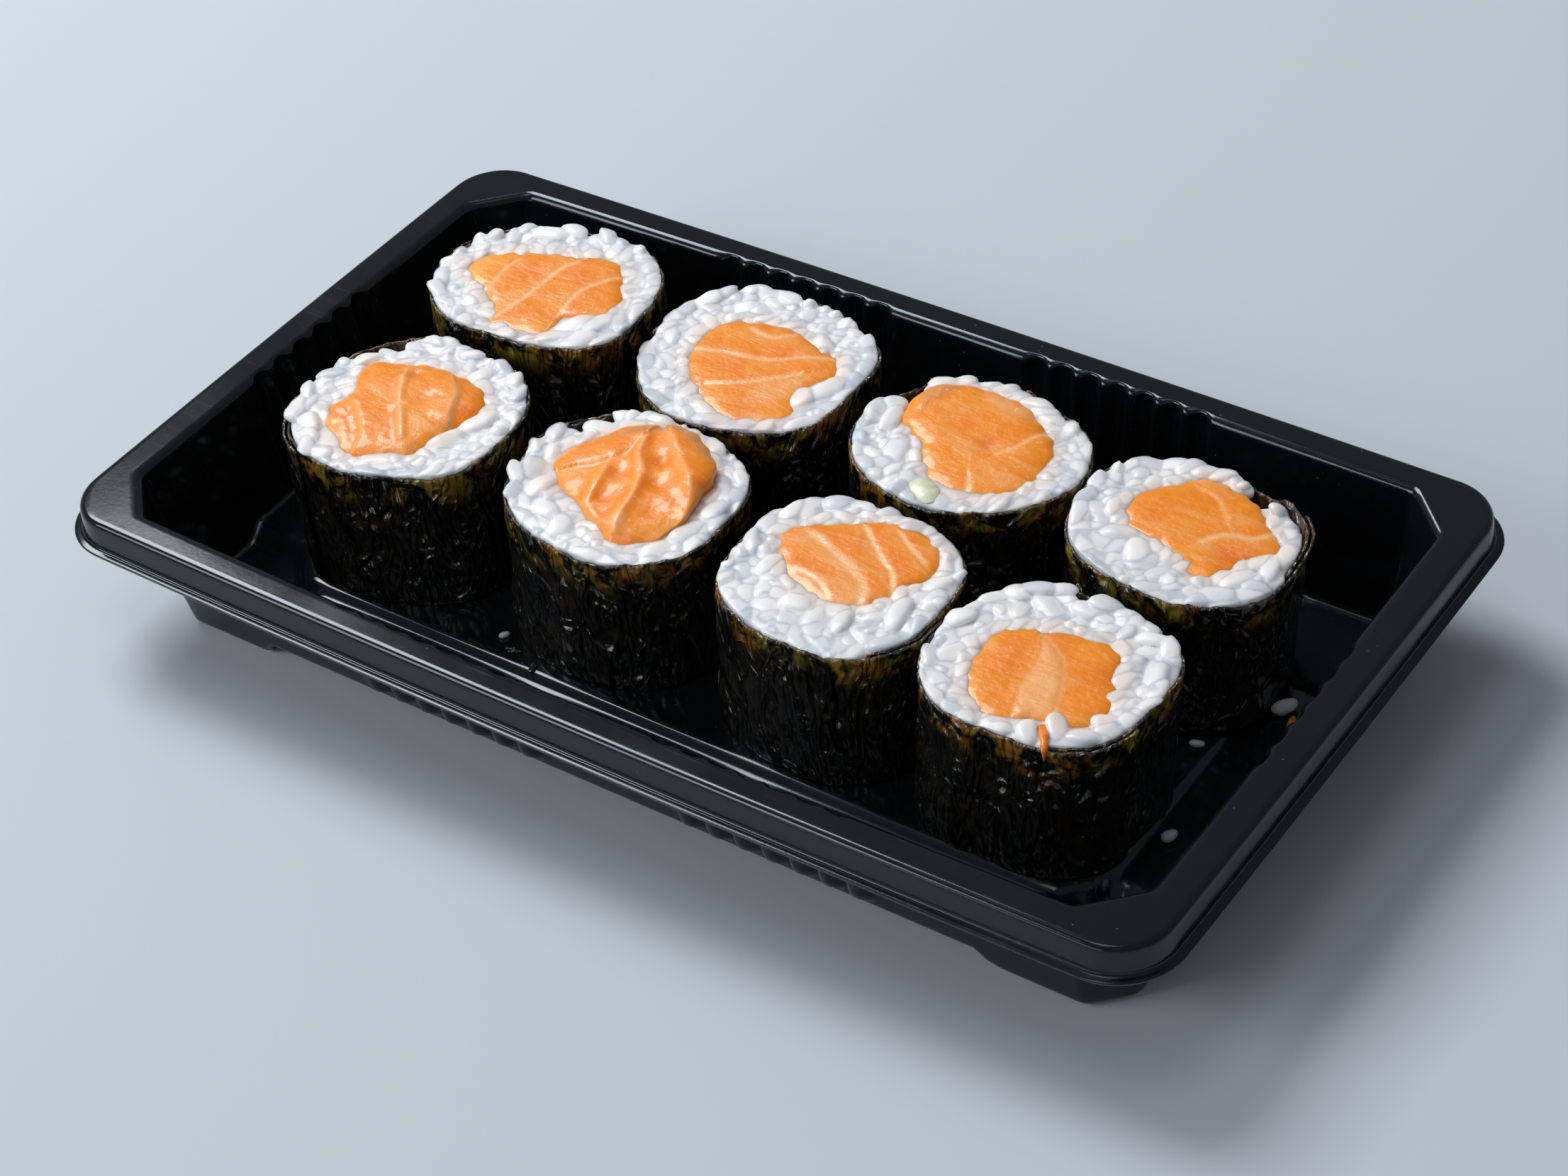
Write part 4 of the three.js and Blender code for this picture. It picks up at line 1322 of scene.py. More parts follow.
@dataclass
class Roll:
    """One roll: its seaweed, its rice and its salmon.

    What belongs to a roll is placed from its middle, and heights on its cut face from its rim. The reaches
    of the wrap are given at equal steps of a turn. The seam, bare and pressed directions are in degrees.
    """

    number: int
    x: float
    y: float
    lean: float
    rim: float
    seam: float
    wrap: Sequence[float]
    fish: Fish
    bare: Sequence[Point] = ()
    pressed: Sequence[Point] = ()
    grains: Sequence[Grain] = ()
    drips: Sequence[Drip] = ()
    sliver: Optional[Sliver] = None
    flaps: Sequence[Flap] = ()
    floor_mm: float = 3.5
    nori_mm: float = 0.35
    fit_mm: float = 0.3
    wrap_steps: int = 25
    overlap_steps: int = 3
    lift_steps: int = 5
    top_mm: float = 27.6
    dent_mm: float = 0.28
    crease_mm: float = 0.48
    fold_mm: float = 0.14
    edge_drop_mm: float = 0.35
    back_drop_mm: float = 0.5
    stain_mm: float = 5.4
    salmon_gap_mm: float = 1.2
    fish_side_grains: int = 28
    wrap_side_grains: int = 34
    open_grains: int = 86
    voxel_mm: float = 0.24
    cut_depth_mm: float = 1.2
    loose_depth_mm: float = 2.4
    core_drop_mm: float = 2.6

    def middle_x(self, z: Numbers) -> Numbers:
        """The sideways place of the roll's middle at a height."""
        return self.x - self.lean * (self.rim - z) / (self.rim - self.floor_mm + 0.1)

    def edge_wave(self, angle: Numbers) -> Numbers:
        """The slow wave in the cut upper edge of the seaweed."""
        index = self.number - 1
        return 0.35 * (0.6 * np.sin(3 * angle + index) + 0.4 * np.sin(7 * angle + 2.3 * index))

    def tuck(self, steps: Numbers) -> Numbers:
        """How far the sheet lies in from the wrap's outline, at a number of steps from its start."""
        lifted = smooth(steps, self.overlap_steps, self.overlap_steps + self.lift_steps)
        return (self.nori_mm + self.fit_mm) * (1 - lifted)

    def rice_reach(self, angle: Array) -> Array:
        """The reach of the rice inside the wrap."""
        return closed_curve(self.wrap, angle) - self.tuck(self.steps_round(angle)) - self.nori_mm - 0.12

    def steps_round(self, angle: Array) -> Array:
        """How many steps of the wrap a direction lies from its seam."""
        return ((angle - math.radians(self.seam)) / FULL_TURN % 1.0) * self.wrap_steps

    @staticmethod
    def facing(angle: Numbers, degrees: float) -> Numbers:
        """How much a direction faces another, given in degrees, from 0 behind it to 1."""
        return 0.5 + 0.5 * np.cos(angle - math.radians(degrees))

    def fish_edge(self, angle: Array) -> tuple[Array, Array]:
        """Points on the side of the salmon, seen from its own middle, kept clear of the wrap.

        Args:
            angle: the directions of the points.

        Returns:
            Their places from the roll's middle.
        """
        reach = closed_curve(self.fish.reach, angle)
        x = self.fish.x + reach * np.cos(angle)
        y = self.fish.y + reach * np.sin(angle)
        away = np.hypot(x, y)
        limit = self.rice_reach(np.arctan2(y, x)) - self.salmon_gap_mm
        kept = np.minimum(1.0, limit / away)
        return x * kept, y * kept

    def crumple(self, outer: Array, angle: Array, z: Array) -> Array:
        """How far dents, creases and folds move each point of the seaweed outward.

        Args:
            outer: the reach of each column of points.
            angle: the direction of each column.
            z: the height of each point, by rows and columns.

        Returns:
            The moves.
        """
        moved = np.empty_like(z)
        for (i, j), height in np.ndenumerate(z):
            place = Vector((outer[j] * math.cos(angle[j]), outer[j] * math.sin(angle[j]), height * 0.8))
            diagonal = Vector((place.x + 0.35 * place.z, place.y + 0.35 * place.z, place.z * 0.5))
            dent = noise.noise(place * 0.16 + Vector((self.number * 7.0, 0, 0)))
            crease = abs(noise.noise(diagonal * 0.3 + Vector((0, self.number * 5.0, 0))))
            fold = noise.noise(diagonal * 0.7 + Vector((self.number * 3.0, 0, 0)))
            grain = noise.noise(diagonal * 1.9)
            moved[i, j] = (self.dent_mm * dent + 0.1 - self.crease_mm * crease + self.fold_mm * fold
                           + 0.015 * grain)
        return moved

    def seaweed(self, finish: Material) -> Piece:
        """Makes the seaweed: one strip that starts under its own end and laps over that start.

        Args:
            finish: its material.

        Returns:
            The seaweed.
        """
        columns, rows = 236, 46
        steps = np.linspace(0, self.wrap_steps + self.overlap_steps, columns)
        angle = math.radians(self.seam) + FULL_TURN * steps / self.wrap_steps
        outer = closed_curve(self.wrap, angle) - self.tuck(steps)
        rise = np.linspace(0, 1, rows)[:, None]
        ragged = 0.1 * np.sin(23 * angle + self.number) + 0.06 * np.sin(61 * angle + 2 * self.number)
        top = (self.rim + 1.1 * self.edge_wave(angle) + ragged - self.edge_drop_mm
               - self.back_drop_mm * self.facing(angle, 125))
        degrees = np.degrees(angle) % 360
        for flap in self.flaps:
            top = top + flap.rise_mm * self.sector(degrees, [(flap.middle, flap.half)])
        z = self.floor_mm + (top[None, :] - self.floor_mm) * rise
        crumple = self.crumple(outer, angle, z) * (1 - 0.35 * rise**6)
        reach = np.repeat(outer[None, :], rows, 0) + np.clip(crumple, -0.32, 0.3)
        for flap in self.flaps:
            lean = smooth(rise, 0.86, 1.0) ** 2 * self.sector(degrees, [(flap.middle, flap.half)])[None, :]
            reach = reach + flap.flare_mm * lean
        x = self.middle_x(z) + reach * np.cos(angle)[None, :]
        y = self.y + reach * np.sin(angle)[None, :]
        made = Workbench.sheet(f"roll_{self.number}_seaweed", columns, rows, closed=False)
        Workbench.place_points(made, np.stack([x, y, z], -1))
        Workbench.keep_numbers(made, "near_edge", smooth(z, top[None, :] - self.stain_mm, top[None, :] - 0.6))
        Workbench.keep_numbers(made, "inside", np.zeros_like(z))
        shown = len(made.data.vertices)
        Workbench.modify(made, "SOLIDIFY", thickness=self.nori_mm * 0.8 * MM, offset=-1.0)
        inside = np.zeros(len(made.data.vertices))
        inside[shown:] = 1.0
        made.data.attributes["inside"].data.foreach_set("value", inside.astype(np.float32))
        return Workbench.finish(made, "nori", finish, [f"roll_{self.number}_nori"])

    def salmon_height(self, x: Array, y: Array, share: Array) -> Array:
        """The height of the salmon's cut face.

        Args:
            x, y: places from the roll's middle.
            share: how far out each point lies, from 0 to 1.

        Returns:
            The heights.
        """
        fish = self.fish
        plane = self.rim + fish.lift + fish.slope[0] * (x - fish.x) + fish.slope[1] * (y - fish.y)
        z = plane + fish.dome * (1 - share**4) - 0.45 * share**12
        for band in fish.bands:
            away, side = nearest_on_line(x, y, rounded_line(band.line))
            relief = band.relief_mm or max(band.width_mm, 0.45)
            z = z - band.groove_mm * np.exp(-((away / relief) ** 2))
            rise = (1 - np.exp(-away / relief)) * np.exp(-away / band.reach_mm)
            z = z + band.step_mm * side * rise
        for hollow in fish.hollows:
            away = np.hypot(x - hollow.x, y - hollow.y) / hollow.reach_mm
            z = z - hollow.depth_mm * np.exp(-(away**2))
        for patch in fish.patches:
            if patch.rise_mm:
                z = z + patch.rise_mm * inside_share(x, y, patch.outline, patch.soft_mm * 1.5)
        rough = np.array([noise.fractal(Vector((a * 0.35, b * 0.35, self.number * 9.0)), 0.8, 2.1, 4)
                          for a, b in zip(x.ravel(), y.ravel())]).reshape(x.shape)
        return np.minimum(z + 0.06 * rough, self.top_mm)

    def salmon_tints(self, x: Array, y: Array) -> dict[Tint, Array]:
        """How much of each tint the salmon takes.

        Args:
            x, y: places from the roll's middle.

        Returns:
            The share of each tint at each place.
        """
        numbers = {tint: np.zeros_like(x) for tint in Tint}
        for band in self.fish.bands:
            away, side = nearest_on_line(x, y, rounded_line(band.line))
            core = 0.8 * (1 - smooth(away, 0.0, band.width_mm * 1.6))
            halo = band.halo * np.exp(-away / (band.width_mm * 2.0)) * (side > 0)
            numbers[Tint.PALE] = np.maximum(numbers[Tint.PALE], band.strength * np.maximum(core, halo))
            # Painted shade: the flesh on the right of each band is tinted deeper orange, fading away from the
            # band.
            shade = 0.5 * np.exp(-away / (band.width_mm * 3.0)) * (side < 0)
            numbers[Tint.DEEP_TONE_AND_SHADE] = np.maximum(numbers[Tint.DEEP_TONE_AND_SHADE], shade * (1 - core))
        # A hollow's deep tint is painted shade where it is sunk, and a plain deeper tone where it is not.
        for hollow in self.fish.hollows:
            away = np.hypot(x - hollow.x, y - hollow.y) / hollow.reach_mm
            numbers[Tint.DEEP_TONE_AND_SHADE] = np.maximum(numbers[Tint.DEEP_TONE_AND_SHADE], hollow.deep * np.exp(-(away**2)))
        for patch in self.fish.patches:
            share_in = patch.strength * inside_share(x, y, patch.outline, patch.soft_mm)
            numbers[patch.tint] = np.maximum(numbers[patch.tint], share_in)
        return numbers

    def salmon(self) -> Piece:
        """Makes the salmon: a finely shaped cut face on a strip that runs down through the roll.

        Returns:
            The salmon.
        """
        fish = self.fish
        columns, face_rows = 220, 64
        angle = np.arange(columns) / columns * FULL_TURN
        wobble = 0.16 * np.sin(7 * angle + self.number) + 0.12 * np.sin(19 * angle + 2 * self.number)
        edge_x, edge_y = self.fish_edge(angle)
        along_x, along_y = edge_x - fish.x, edge_y - fish.y
        size = 1 + wobble / np.hypot(along_x, along_y)
        share = np.sqrt(np.linspace(1.0, 0.0004, face_rows))[:, None]
        x = fish.x + along_x[None, :] * size * share
        y = fish.y + along_y[None, :] * size * share
        z = self.salmon_height(x, y, share * np.ones_like(x))
        sides = [(1.0, self.floor_mm), (1.0, self.floor_mm + 6), (1.01, self.rim - 3.5),
                 (1.015, self.rim - 1.6), (1.01, self.rim - 1.0)]
        side_x = np.stack([fish.x + along_x * size * grow for grow, _ in sides])
        side_y = np.stack([fish.y + along_y * size * grow for grow, _ in sides])
        side_z = np.stack([np.full(columns, level) for _, level in sides])
        local_x, local_y = np.vstack([side_x, x]), np.vstack([side_y, y])
        z = np.vstack([side_z, z])
        made = Workbench.sheet(f"roll_{self.number}_salmon_strip", columns, len(z), closed=True)
        Workbench.place_points(made, np.stack([self.middle_x(z) + local_x, self.y + local_y, z], -1))
        for tint, values in self.salmon_tints(local_x, local_y).items():
            Workbench.keep_numbers(made, tint.value, values)
        Workbench.fill_ends(made, columns, len(z))
        return Workbench.finish(made, "salmon", RawSalmon().material(fish.threads),
                                [f"roll_{self.number}_salmon"])

    def grain_places(self, draw: random.Random, count: int) -> list[Triple]:
        """Places for the grains that show on the cut face, spread evenly over the ring of rice.

        Args:
            draw: seeded random numbers.
            count: how many places are wanted.

        Returns:
            Each grain's place in the roll and its heading.
        """
        tries = 14
        taken: list[Triple] = []
        for _ in range(count):
            best, best_gap = None, -1.0
            for _ in range(tries):
                turn = draw.random() * FULL_TURN
                ex, ey = self.fish_edge(np.array([turn]))
                angle = math.atan2(ey[0], ex[0])
                inner = math.hypot(ex[0], ey[0])
                outer = float(self.rice_reach(np.array([angle]))[0])
                share = draw.random() ** 0.85
                low, high = inner + 0.3, outer - 1.15
                reach = low + (high - low) * share if high > low else (inner + outer) / 2
                x, y = reach * math.cos(angle), reach * math.sin(angle)
                gap = min((math.hypot(x - t[0], y - t[1]) for t in taken), default=9.0)
                if gap > best_gap:
                    free = min(1.0, max(0.12, (outer - inner - 2.0) / 4.0))
                    heading = angle + math.pi / 2 + (draw.random() * 2 - 1) * math.pi / 2 * free
                    best, best_gap = (x, y, heading), gap
            taken.append(best)
        return taken

    def laid_grain(self, draw: random.Random, place: Sequence[float], top: float, heading: float,
                   pitch: float, size: float = 1.0) -> GrainBody:
        """A grain at its place in the roll, with its highest point at the height top."""
        spot = (float(self.middle_x(top)) + place[0], self.y + place[1], top)
        return GrainBody.turned(draw, spot, heading, pitch, size)

    def is_bare(self, x: float, y: float) -> bool:
        """Whether a place lies in a gap between the rice and the seaweed.

        Args:
            x, y: the place from the roll's middle.

        Returns:
            True in such a gap.
        """
        angle = math.degrees(math.atan2(y, x)) % 360
        outer = float(self.rice_reach(np.array([math.radians(angle)]))[0])
        in_gap = any(between(angle, middle) < half for middle, half in self.bare)
        return in_gap and math.hypot(x, y) > outer - 2.6

    def is_kept_free(self, x: float, y: float) -> bool:
        """Whether a place is kept free of grains, for the vegetable sliver or for a shred of salmon."""
        near_drip = any(drip.distance(x, y) < 0.9 for drip in self.drips)
        return near_drip or (self.sliver is not None and self.sliver.distance(x, y) < 1.3)

    def sector(self, degrees: Array, sectors: Sequence[Point]) -> Array:
        """How much a direction belongs to any of some sectors, each a middle and a half width.

        Args:
            degrees: the directions, in degrees.
            sectors: the middle and half width of each sector.

        Returns:
            The share, from 0 to 1, of each direction.
        """
        share = np.zeros_like(degrees)
        for middle, half in sectors:
            share = np.maximum(share, 1 - smooth(between(degrees, middle), half * 0.75, half * 1.25))
        return share

    def slab(self) -> tuple[Array, list]:
        """The layer of pressed rice that the showing grains are sunk in.

        Returns:
            Its points and its faces.
        """
        columns = 96
        angle = np.arange(columns) / columns * FULL_TURN
        degrees = np.degrees(angle)
        outer = self.rice_reach(angle) - 2.3 * self.sector(degrees, self.bare)
        even = self.sector(degrees, self.pressed)
        back = self.facing(angle, 110)
        rings = [(0.98, -3.4, 0.0), (1.0, -2.0, 0.0), (1.0, -0.95, 0.2), (0.975, -0.7, 0.3),
                 (0.9, -0.7, 0.3), (0.75, -0.75, 0.3), (0.4, -0.75, 0.3)]
        points = []
        # Each ring is given by its share of the reach, its height over the rim and its rise where pressed.
        for share, drop, gain in rings:
            z = self.rim + drop + gain * even - (0.12 * back if drop > -2 and share > 0.95 else 0.0)
            for i, a in enumerate(angle):
                points.append((float(self.middle_x(z[i])) + outer[i] * share * math.cos(a),
                               self.y + outer[i] * share * math.sin(a), float(z[i])))
        faces = [tuple(range(columns))[::-1], tuple(range((len(rings) - 1) * columns, len(rings) * columns))]
        for ring in range(len(rings) - 1):
            for i in range(columns):
                j = (i + 1) % columns
                faces.append((ring * columns + i, ring * columns + j, (ring + 1) * columns + j,
                              (ring + 1) * columns + i))
        return np.array(points), faces

    def random_grains(self, draw: random.Random) -> list[GrainBody]:
        """The grains that fill the cut face: along the salmon, along the seaweed and between them.

        Args:
            draw: seeded random numbers.

        Returns:
            The grains.
        """
        places = []
        for i in range(self.fish_side_grains):
            turn = (i + draw.uniform(-0.3, 0.3)) / self.fish_side_grains * FULL_TURN
            edge_x, edge_y = (float(v[0]) for v in self.fish_edge(np.array([turn])))
            out = 1 + draw.uniform(0.35, 0.7) / math.hypot(edge_x, edge_y)
            places.append((edge_x * out, edge_y * out, math.atan2(edge_y, edge_x) + math.pi / 2
                           + draw.uniform(-0.9, 0.9), draw.gauss(0.22, 0.1)))
        for i in range(self.wrap_side_grains):
            angle = (i + draw.uniform(-0.35, 0.35)) / self.wrap_side_grains * FULL_TURN
            reach = float(self.rice_reach(np.array([angle]))[0]) - draw.uniform(0.3, 1.1)
            back = float(self.facing(angle, 120))
            places.append((reach * math.cos(angle), reach * math.sin(angle), angle + math.pi / 2
                           + draw.uniform(-0.8, 0.8), draw.gauss(0.2, 0.26) + 0.5 * back))
        for x, y, heading in self.grain_places(draw, self.open_grains):
            places.append((x, y, heading, draw.gauss(0.1, 0.17)))
        grains = []
        for x, y, heading, top in places:
            pitch = draw.uniform(1.0, 1.5) if draw.random() < 0.22 else draw.gauss(0.0, 0.16)
            near_hand = min((math.hypot(x - g.x, y - g.y) for g in self.grains), default=9.0) < 2.0
            if self.is_bare(x, y) or near_hand or self.is_kept_free(x, y):
                continue
            angle = np.array([math.degrees(math.atan2(y, x))])
            even = float(self.sector(angle, self.pressed)[0])
            top = top * (1 - 0.6 * even) - 0.1 * even
            size = draw.uniform(0.85, 1.15)
            grains.append(self.laid_grain(draw, (x, y), self.rim + top, heading, pitch, size))
        return grains

    def rice(self, finish: Material) -> Piece:
        """Makes the rice: grains pressed into one another over a core.

        Args:
            finish: its material.

        Returns:
            The rice.
        """
        draw = random.Random(self.number * 101)
        grains = [self.laid_grain(draw, (g.x, g.y), self.rim + g.top_mm, math.radians(g.heading),
                                  math.radians(g.pitch), g.size) for g in self.grains]
        grains += self.random_grains(draw)
        parts = [self.slab(), *((grain.points, grain.faces) for grain in grains)]
        made = Workbench.bodies(f"roll_{self.number}_rice_grains", parts)
        Workbench.modify(made, "REMESH", mode="VOXEL", voxel_size=self.voxel_mm * MM, use_smooth_shade=True)
        Workbench.modify(made, "SMOOTH", factor=0.5, iterations=1)
        self.tell_grains_apart(made, grains)
        self.press(made)
        core = self.core_mesh()
        for name in ("seam", "clear"):
            Workbench.keep_numbers(core, name, np.zeros(len(core.data.vertices)))
        Workbench.join(made, [core])
        self.tint_rice(made)
        return Workbench.finish(made, "rice", finish, [f"roll_{self.number}_rice"])

    def tell_grains_apart(self, made: Piece, grains: Sequence[GrainBody]) -> None:
        """Stores for each point how clear its grain is and how near it lies to the next grain.

        Args:
            made: the rice.
            grains: the grains in it.
        """
        points = self.local_points(made)[0]
        first = np.full(len(points), 9.0)
        second = np.full(len(points), 9.0)
        clear = np.zeros(len(points))
        for grain in grains:
            away = grain.nearness(points)
            nearer = away < first
            second = np.where(nearer, first, np.minimum(second, away))
            clear = np.where(nearer, grain.clear, clear)
            first = np.where(nearer, away, first)
        # Painted shade: seam is high in the grooves between grains and on the slab between them, where the
        # finish darkens the rice.
        seam = np.maximum(1 - smooth(second - first, 0.0, 0.2), 0.5 * smooth(first, 1.06, 1.3))
        Workbench.keep_numbers(made, "seam", seam)
        Workbench.keep_numbers(made, "clear", clear)

    def local_points(self, made: Piece) -> tuple[Array, Array, Array, Array]:
        """The points of a mesh in millimetres, and their places and reach from the roll's middle.

        Args:
            made: the object.

        Returns:
            The points, then the place across, the place along and the reach of each.
        """
        flat = np.empty(len(made.data.vertices) * 3, np.float32)
        made.data.vertices.foreach_get("co", flat)
        points = flat.reshape(-1, 3).astype(float) / MM
        x, y = points[:, 0] - self.middle_x(points[:, 2]), points[:, 1] - self.y
        return points, x, y, np.hypot(x, y)

    def press(self, made: Piece) -> None:
        """Evens out the knife's cut and keeps the rice inside the seaweed.

        Args:
            made: the rice.
        """
        points, x, y, reach = self.local_points(made)
        level, depth, deep = self.rim - 0.1, self.cut_depth_mm, self.loose_depth_mm
        proud_share, sunk_share = 0.66, 0.46
        above = points[:, 2] - level
        flat = np.where(above > 0, proud_share, sunk_share) * above
        sloping = -deep + (deep - sunk_share * depth) * (above + deep) / (deep - depth)
        points[:, 2] = level + np.where(above > -depth, flat, np.where(above > -deep, sloping, above))
        angle = np.arctan2(y, x)
        inside = self.rice_reach(angle) + 0.14
        over = closed_curve(self.wrap, angle) - 0.2 * self.tuck(self.steps_round(angle)) - 0.1
        limit = inside + (over - inside) * smooth(points[:, 2], self.rim - 0.15, self.rim + 0.2)
        kept = np.minimum(1.0, limit / np.maximum(reach, 0.01))
        points[:, 0] = self.middle_x(points[:, 2]) + x * kept
        points[:, 1] = self.y + y * kept
        Workbench.place_points(made, points)

    def core_mesh(self) -> Piece:
        """The plain hidden body of the rice, from the floor up to the layer of grains.

        Returns:
            The core.
        """
        Workbench.clear_selection()
        bpy.ops.mesh.primitive_cylinder_add(vertices=60, radius=1.0, depth=1.0)
        made = Workbench.named(f"roll_{self.number}_rice_core")
        for vertex in made.data.vertices:
            angle = math.atan2(vertex.co.y, vertex.co.x)
            z = self.floor_mm if vertex.co.z < 0 else self.rim - self.core_drop_mm
            reach = float(self.rice_reach(np.array([angle]))[0]) * 0.985 - 0.1
            if z > self.floor_mm:
                gaps = (1 - smooth(between(math.degrees(angle), middle), half * 0.8, half * 1.4)
                        for middle, half in self.bare)
                reach -= 2.4 * max(gaps, default=0.0)
            vertex.co = Vector((float(self.middle_x(z)) + reach * math.cos(angle),
                                self.y + reach * math.sin(angle), z)) * MM
        return made

    def tint_rice(self, made: Piece) -> None:
        """Stores how close each point of the rice lies to the salmon and to the seaweed.

        Args:
            made: the rice.
        """
        _, x, y, reach = self.local_points(made)
        turn = np.linspace(0, FULL_TURN, 241)
        edge_x, edge_y = self.fish_edge(turn)
        edge_turn = np.arctan2(edge_y, edge_x) % FULL_TURN
        order = np.argsort(edge_turn)
        edge = np.interp(np.arctan2(y, x) % FULL_TURN, edge_turn[order], np.hypot(edge_x, edge_y)[order])
        Workbench.keep_numbers(made, "near_fish", 1 - smooth(reach - edge, 0.0, 2.4))
        room = self.rice_reach(np.arctan2(y, x)) - reach
        Workbench.keep_numbers(made, "near_seaweed", 1 - smooth(room, 0.3, 2.6))

    def shred(self, index: int, drip: Drip) -> Piece:
        """Makes a thin shred of salmon as a flattened, tapered tube along its path.

        Args:
            index: the shred's number in its roll.
            drip: where it hangs.

        Returns:
            The shred.
        """
        path = [Vector((float(self.middle_x(self.rim + dz)) + x, self.y + y, self.rim + dz))
                for x, y, dz in smooth_path(drip.path)]
        around, rings = 10, []
        for i, middle in enumerate(path):
            run = (path[min(i + 1, len(path) - 1)] - path[max(i - 1, 0)]).normalized()
            across = Vector((0, 0, 1)) if abs(run.z) < 0.8 else Vector((middle.x, middle.y, 0))
            side = run.cross(across).normalized()
            up = side.cross(run)
            share = i / (len(path) - 1)
            half = drip.width_mm / 2 * (1 - 0.8 * share**2) * (0.85 + 0.3 * noise.noise(middle * 0.9))
            rings.append([middle + side * half * math.cos(a) + up * half * 0.45 * math.sin(a)
                          for a in (FULL_TURN * j / around for j in range(around))])
        made = Workbench.tube(f"roll_{self.number}_salmon_shred_{index}", rings)
        for tint in Tint:
            share = 0.6 if tint is Tint.DEEP_TONE_AND_SHADE else 0.0
            Workbench.keep_numbers(made, tint.value, np.full(len(made.data.vertices), share))
        return Workbench.finish(made, "salmon", RawSalmon().material(self.fish.threads))

    def shaving(self, sliver: Sliver) -> Piece:
        """Makes the curved shaving of vegetable: thin at its sides, with rounded ends.

        Args:
            sliver: where it lies and its sizes.

        Returns:
            The shaving.
        """
        line = [Vector((x, y)) for x, y in rounded_line(sliver.line, 8)]
        around, rings = 16, []
        top = self.rim + sliver.top_mm
        for i, middle in enumerate(line):
            run = (line[min(i + 1, len(line) - 1)] - line[max(i - 1, 0)]).normalized()
            side = Vector((-run.y, run.x))
            t = 2 * i / (len(line) - 1) - 1
            full = max(0.05, (1 - abs(t) ** 2.6)) ** 0.5
            ring = []
            for j in range(around):
                a = FULL_TURN * j / around
                across = sliver.width_mm / 2 * full * math.cos(a)
                plan = middle + side * across
                sag = 0.35 * (across / sliver.width_mm * 2) ** 2 + 0.25 * t * t
                z = top - sliver.thick_mm / 2 - sag + sliver.thick_mm / 2 * full * math.sin(a)
                z += 0.12 * noise.noise(Vector((plan.x, plan.y, 0.0)) * 0.8)
                ring.append((float(self.middle_x(z)) + plan.x, self.y + plan.y, z))
            rings.append(ring)
        made = Workbench.tube(f"roll_{self.number}_green_shaving", rings)
        return Workbench.finish(made, "pale_green", PaleGreen().material(),
                                [f"roll_{self.number}_green_sliver"])

    def build(self, seaweed: Material, rice: Material) -> None:
        """Makes the pieces of the roll.

        Args:
            seaweed: the finish of the seaweed.
            rice: the finish of the rice.
        """
        self.seaweed(seaweed)
        self.rice(rice)
        self.salmon()
        for index, drip in enumerate(self.drips, start=1):
            self.shred(index, drip)
        if self.sliver is not None:
            self.shaving(self.sliver)


class Litter(Enum):
    """What a crumb on the tray's floor is."""

    RICE = "rice"
    SEAWEED = "nori"
    SALMON = "salmon"


@dataclass
class Crumb:
    """A crumb that lies on the tray's floor."""

    kind: Litter
    x: float
    y: float
    heading: float
    length_mm: float
    width_mm: float = 2.2

    def build(self, index: int, tray: Tray, finish: Material) -> Piece:
        """Makes the crumb, resting on the floor of the tray.

        Args:
            index: the crumb's number.
            tray: the tray that it lies in.
            finish: its material.

        Returns:
            The crumb.
        """
        draw = random.Random(900 + index)
        rest = tray.floor_height(self.x, self.y)
        if self.kind is Litter.RICE:
            made = self.grain(index, rest, draw)
        else:
            made = self.flake(index, rest, draw)
        return Workbench.finish(made, self.kind.value, finish)

    def grain(self, index: int, rest: float, draw: random.Random) -> Piece:
        """Makes a single grain of rice, lying flat.

        Args:
            index: the crumb's number.
            rest: the height that it lies at.
            draw: seeded random numbers.

        Returns:
            The grain.
        """
        size = self.length_mm / 4.6
        body = GrainBody.turned(draw, (self.x, self.y, 0.0), math.radians(self.heading), 0.0, size)
        points = body.points + np.array([0.0, 0.0, rest - body.points[:, 2].min() - 0.05])
        made = Workbench.bodies(f"floor_grain_{index}", [(points, body.faces)])
        Workbench.keep_numbers(made, "clear", np.full(len(points), body.clear))
        return made

    def flake(self, index: int, rest: float, draw: random.Random) -> Piece:
        """Makes a small crumpled flake with a torn outline.

        Args:
            index: the crumb's number.
            rest: the height that it lies at.
            draw: seeded random numbers.

        Returns:
            The flake.
        """
        columns, rows = 12, 8
        turn = math.radians(self.heading)
        drift = Vector((draw.uniform(0, 50), draw.uniform(0, 50), 0.0))
        points = []
        for i in range(rows):
            for j in range(columns):
                u, v = 2 * j / (columns - 1) - 1, 2 * i / (rows - 1) - 1
                torn = 1 + 0.35 * noise.noise(Vector((u * 1.6, v * 1.6, 0.0)) + drift)
                round_u, round_v = u * math.sqrt(1 - v * v / 2), v * math.sqrt(1 - u * u / 2)
                a, b = self.length_mm / 2 * round_u * torn, self.width_mm / 2 * round_v * torn
                z = rest + 0.25 + 0.5 * abs(noise.noise(Vector((a * 0.7, b * 0.9, 3.0)) + drift))
                points.append((self.x + a * math.cos(turn) - b * math.sin(turn),
                               self.y + a * math.sin(turn) + b * math.cos(turn), z))
        made = Workbench.sheet(f"floor_flake_{index}", columns, rows, closed=False)
        Workbench.place_points(made, np.array(points))
        Workbench.modify(made, "SOLIDIFY", thickness=0.18 * MM, offset=-1.0)
        return made


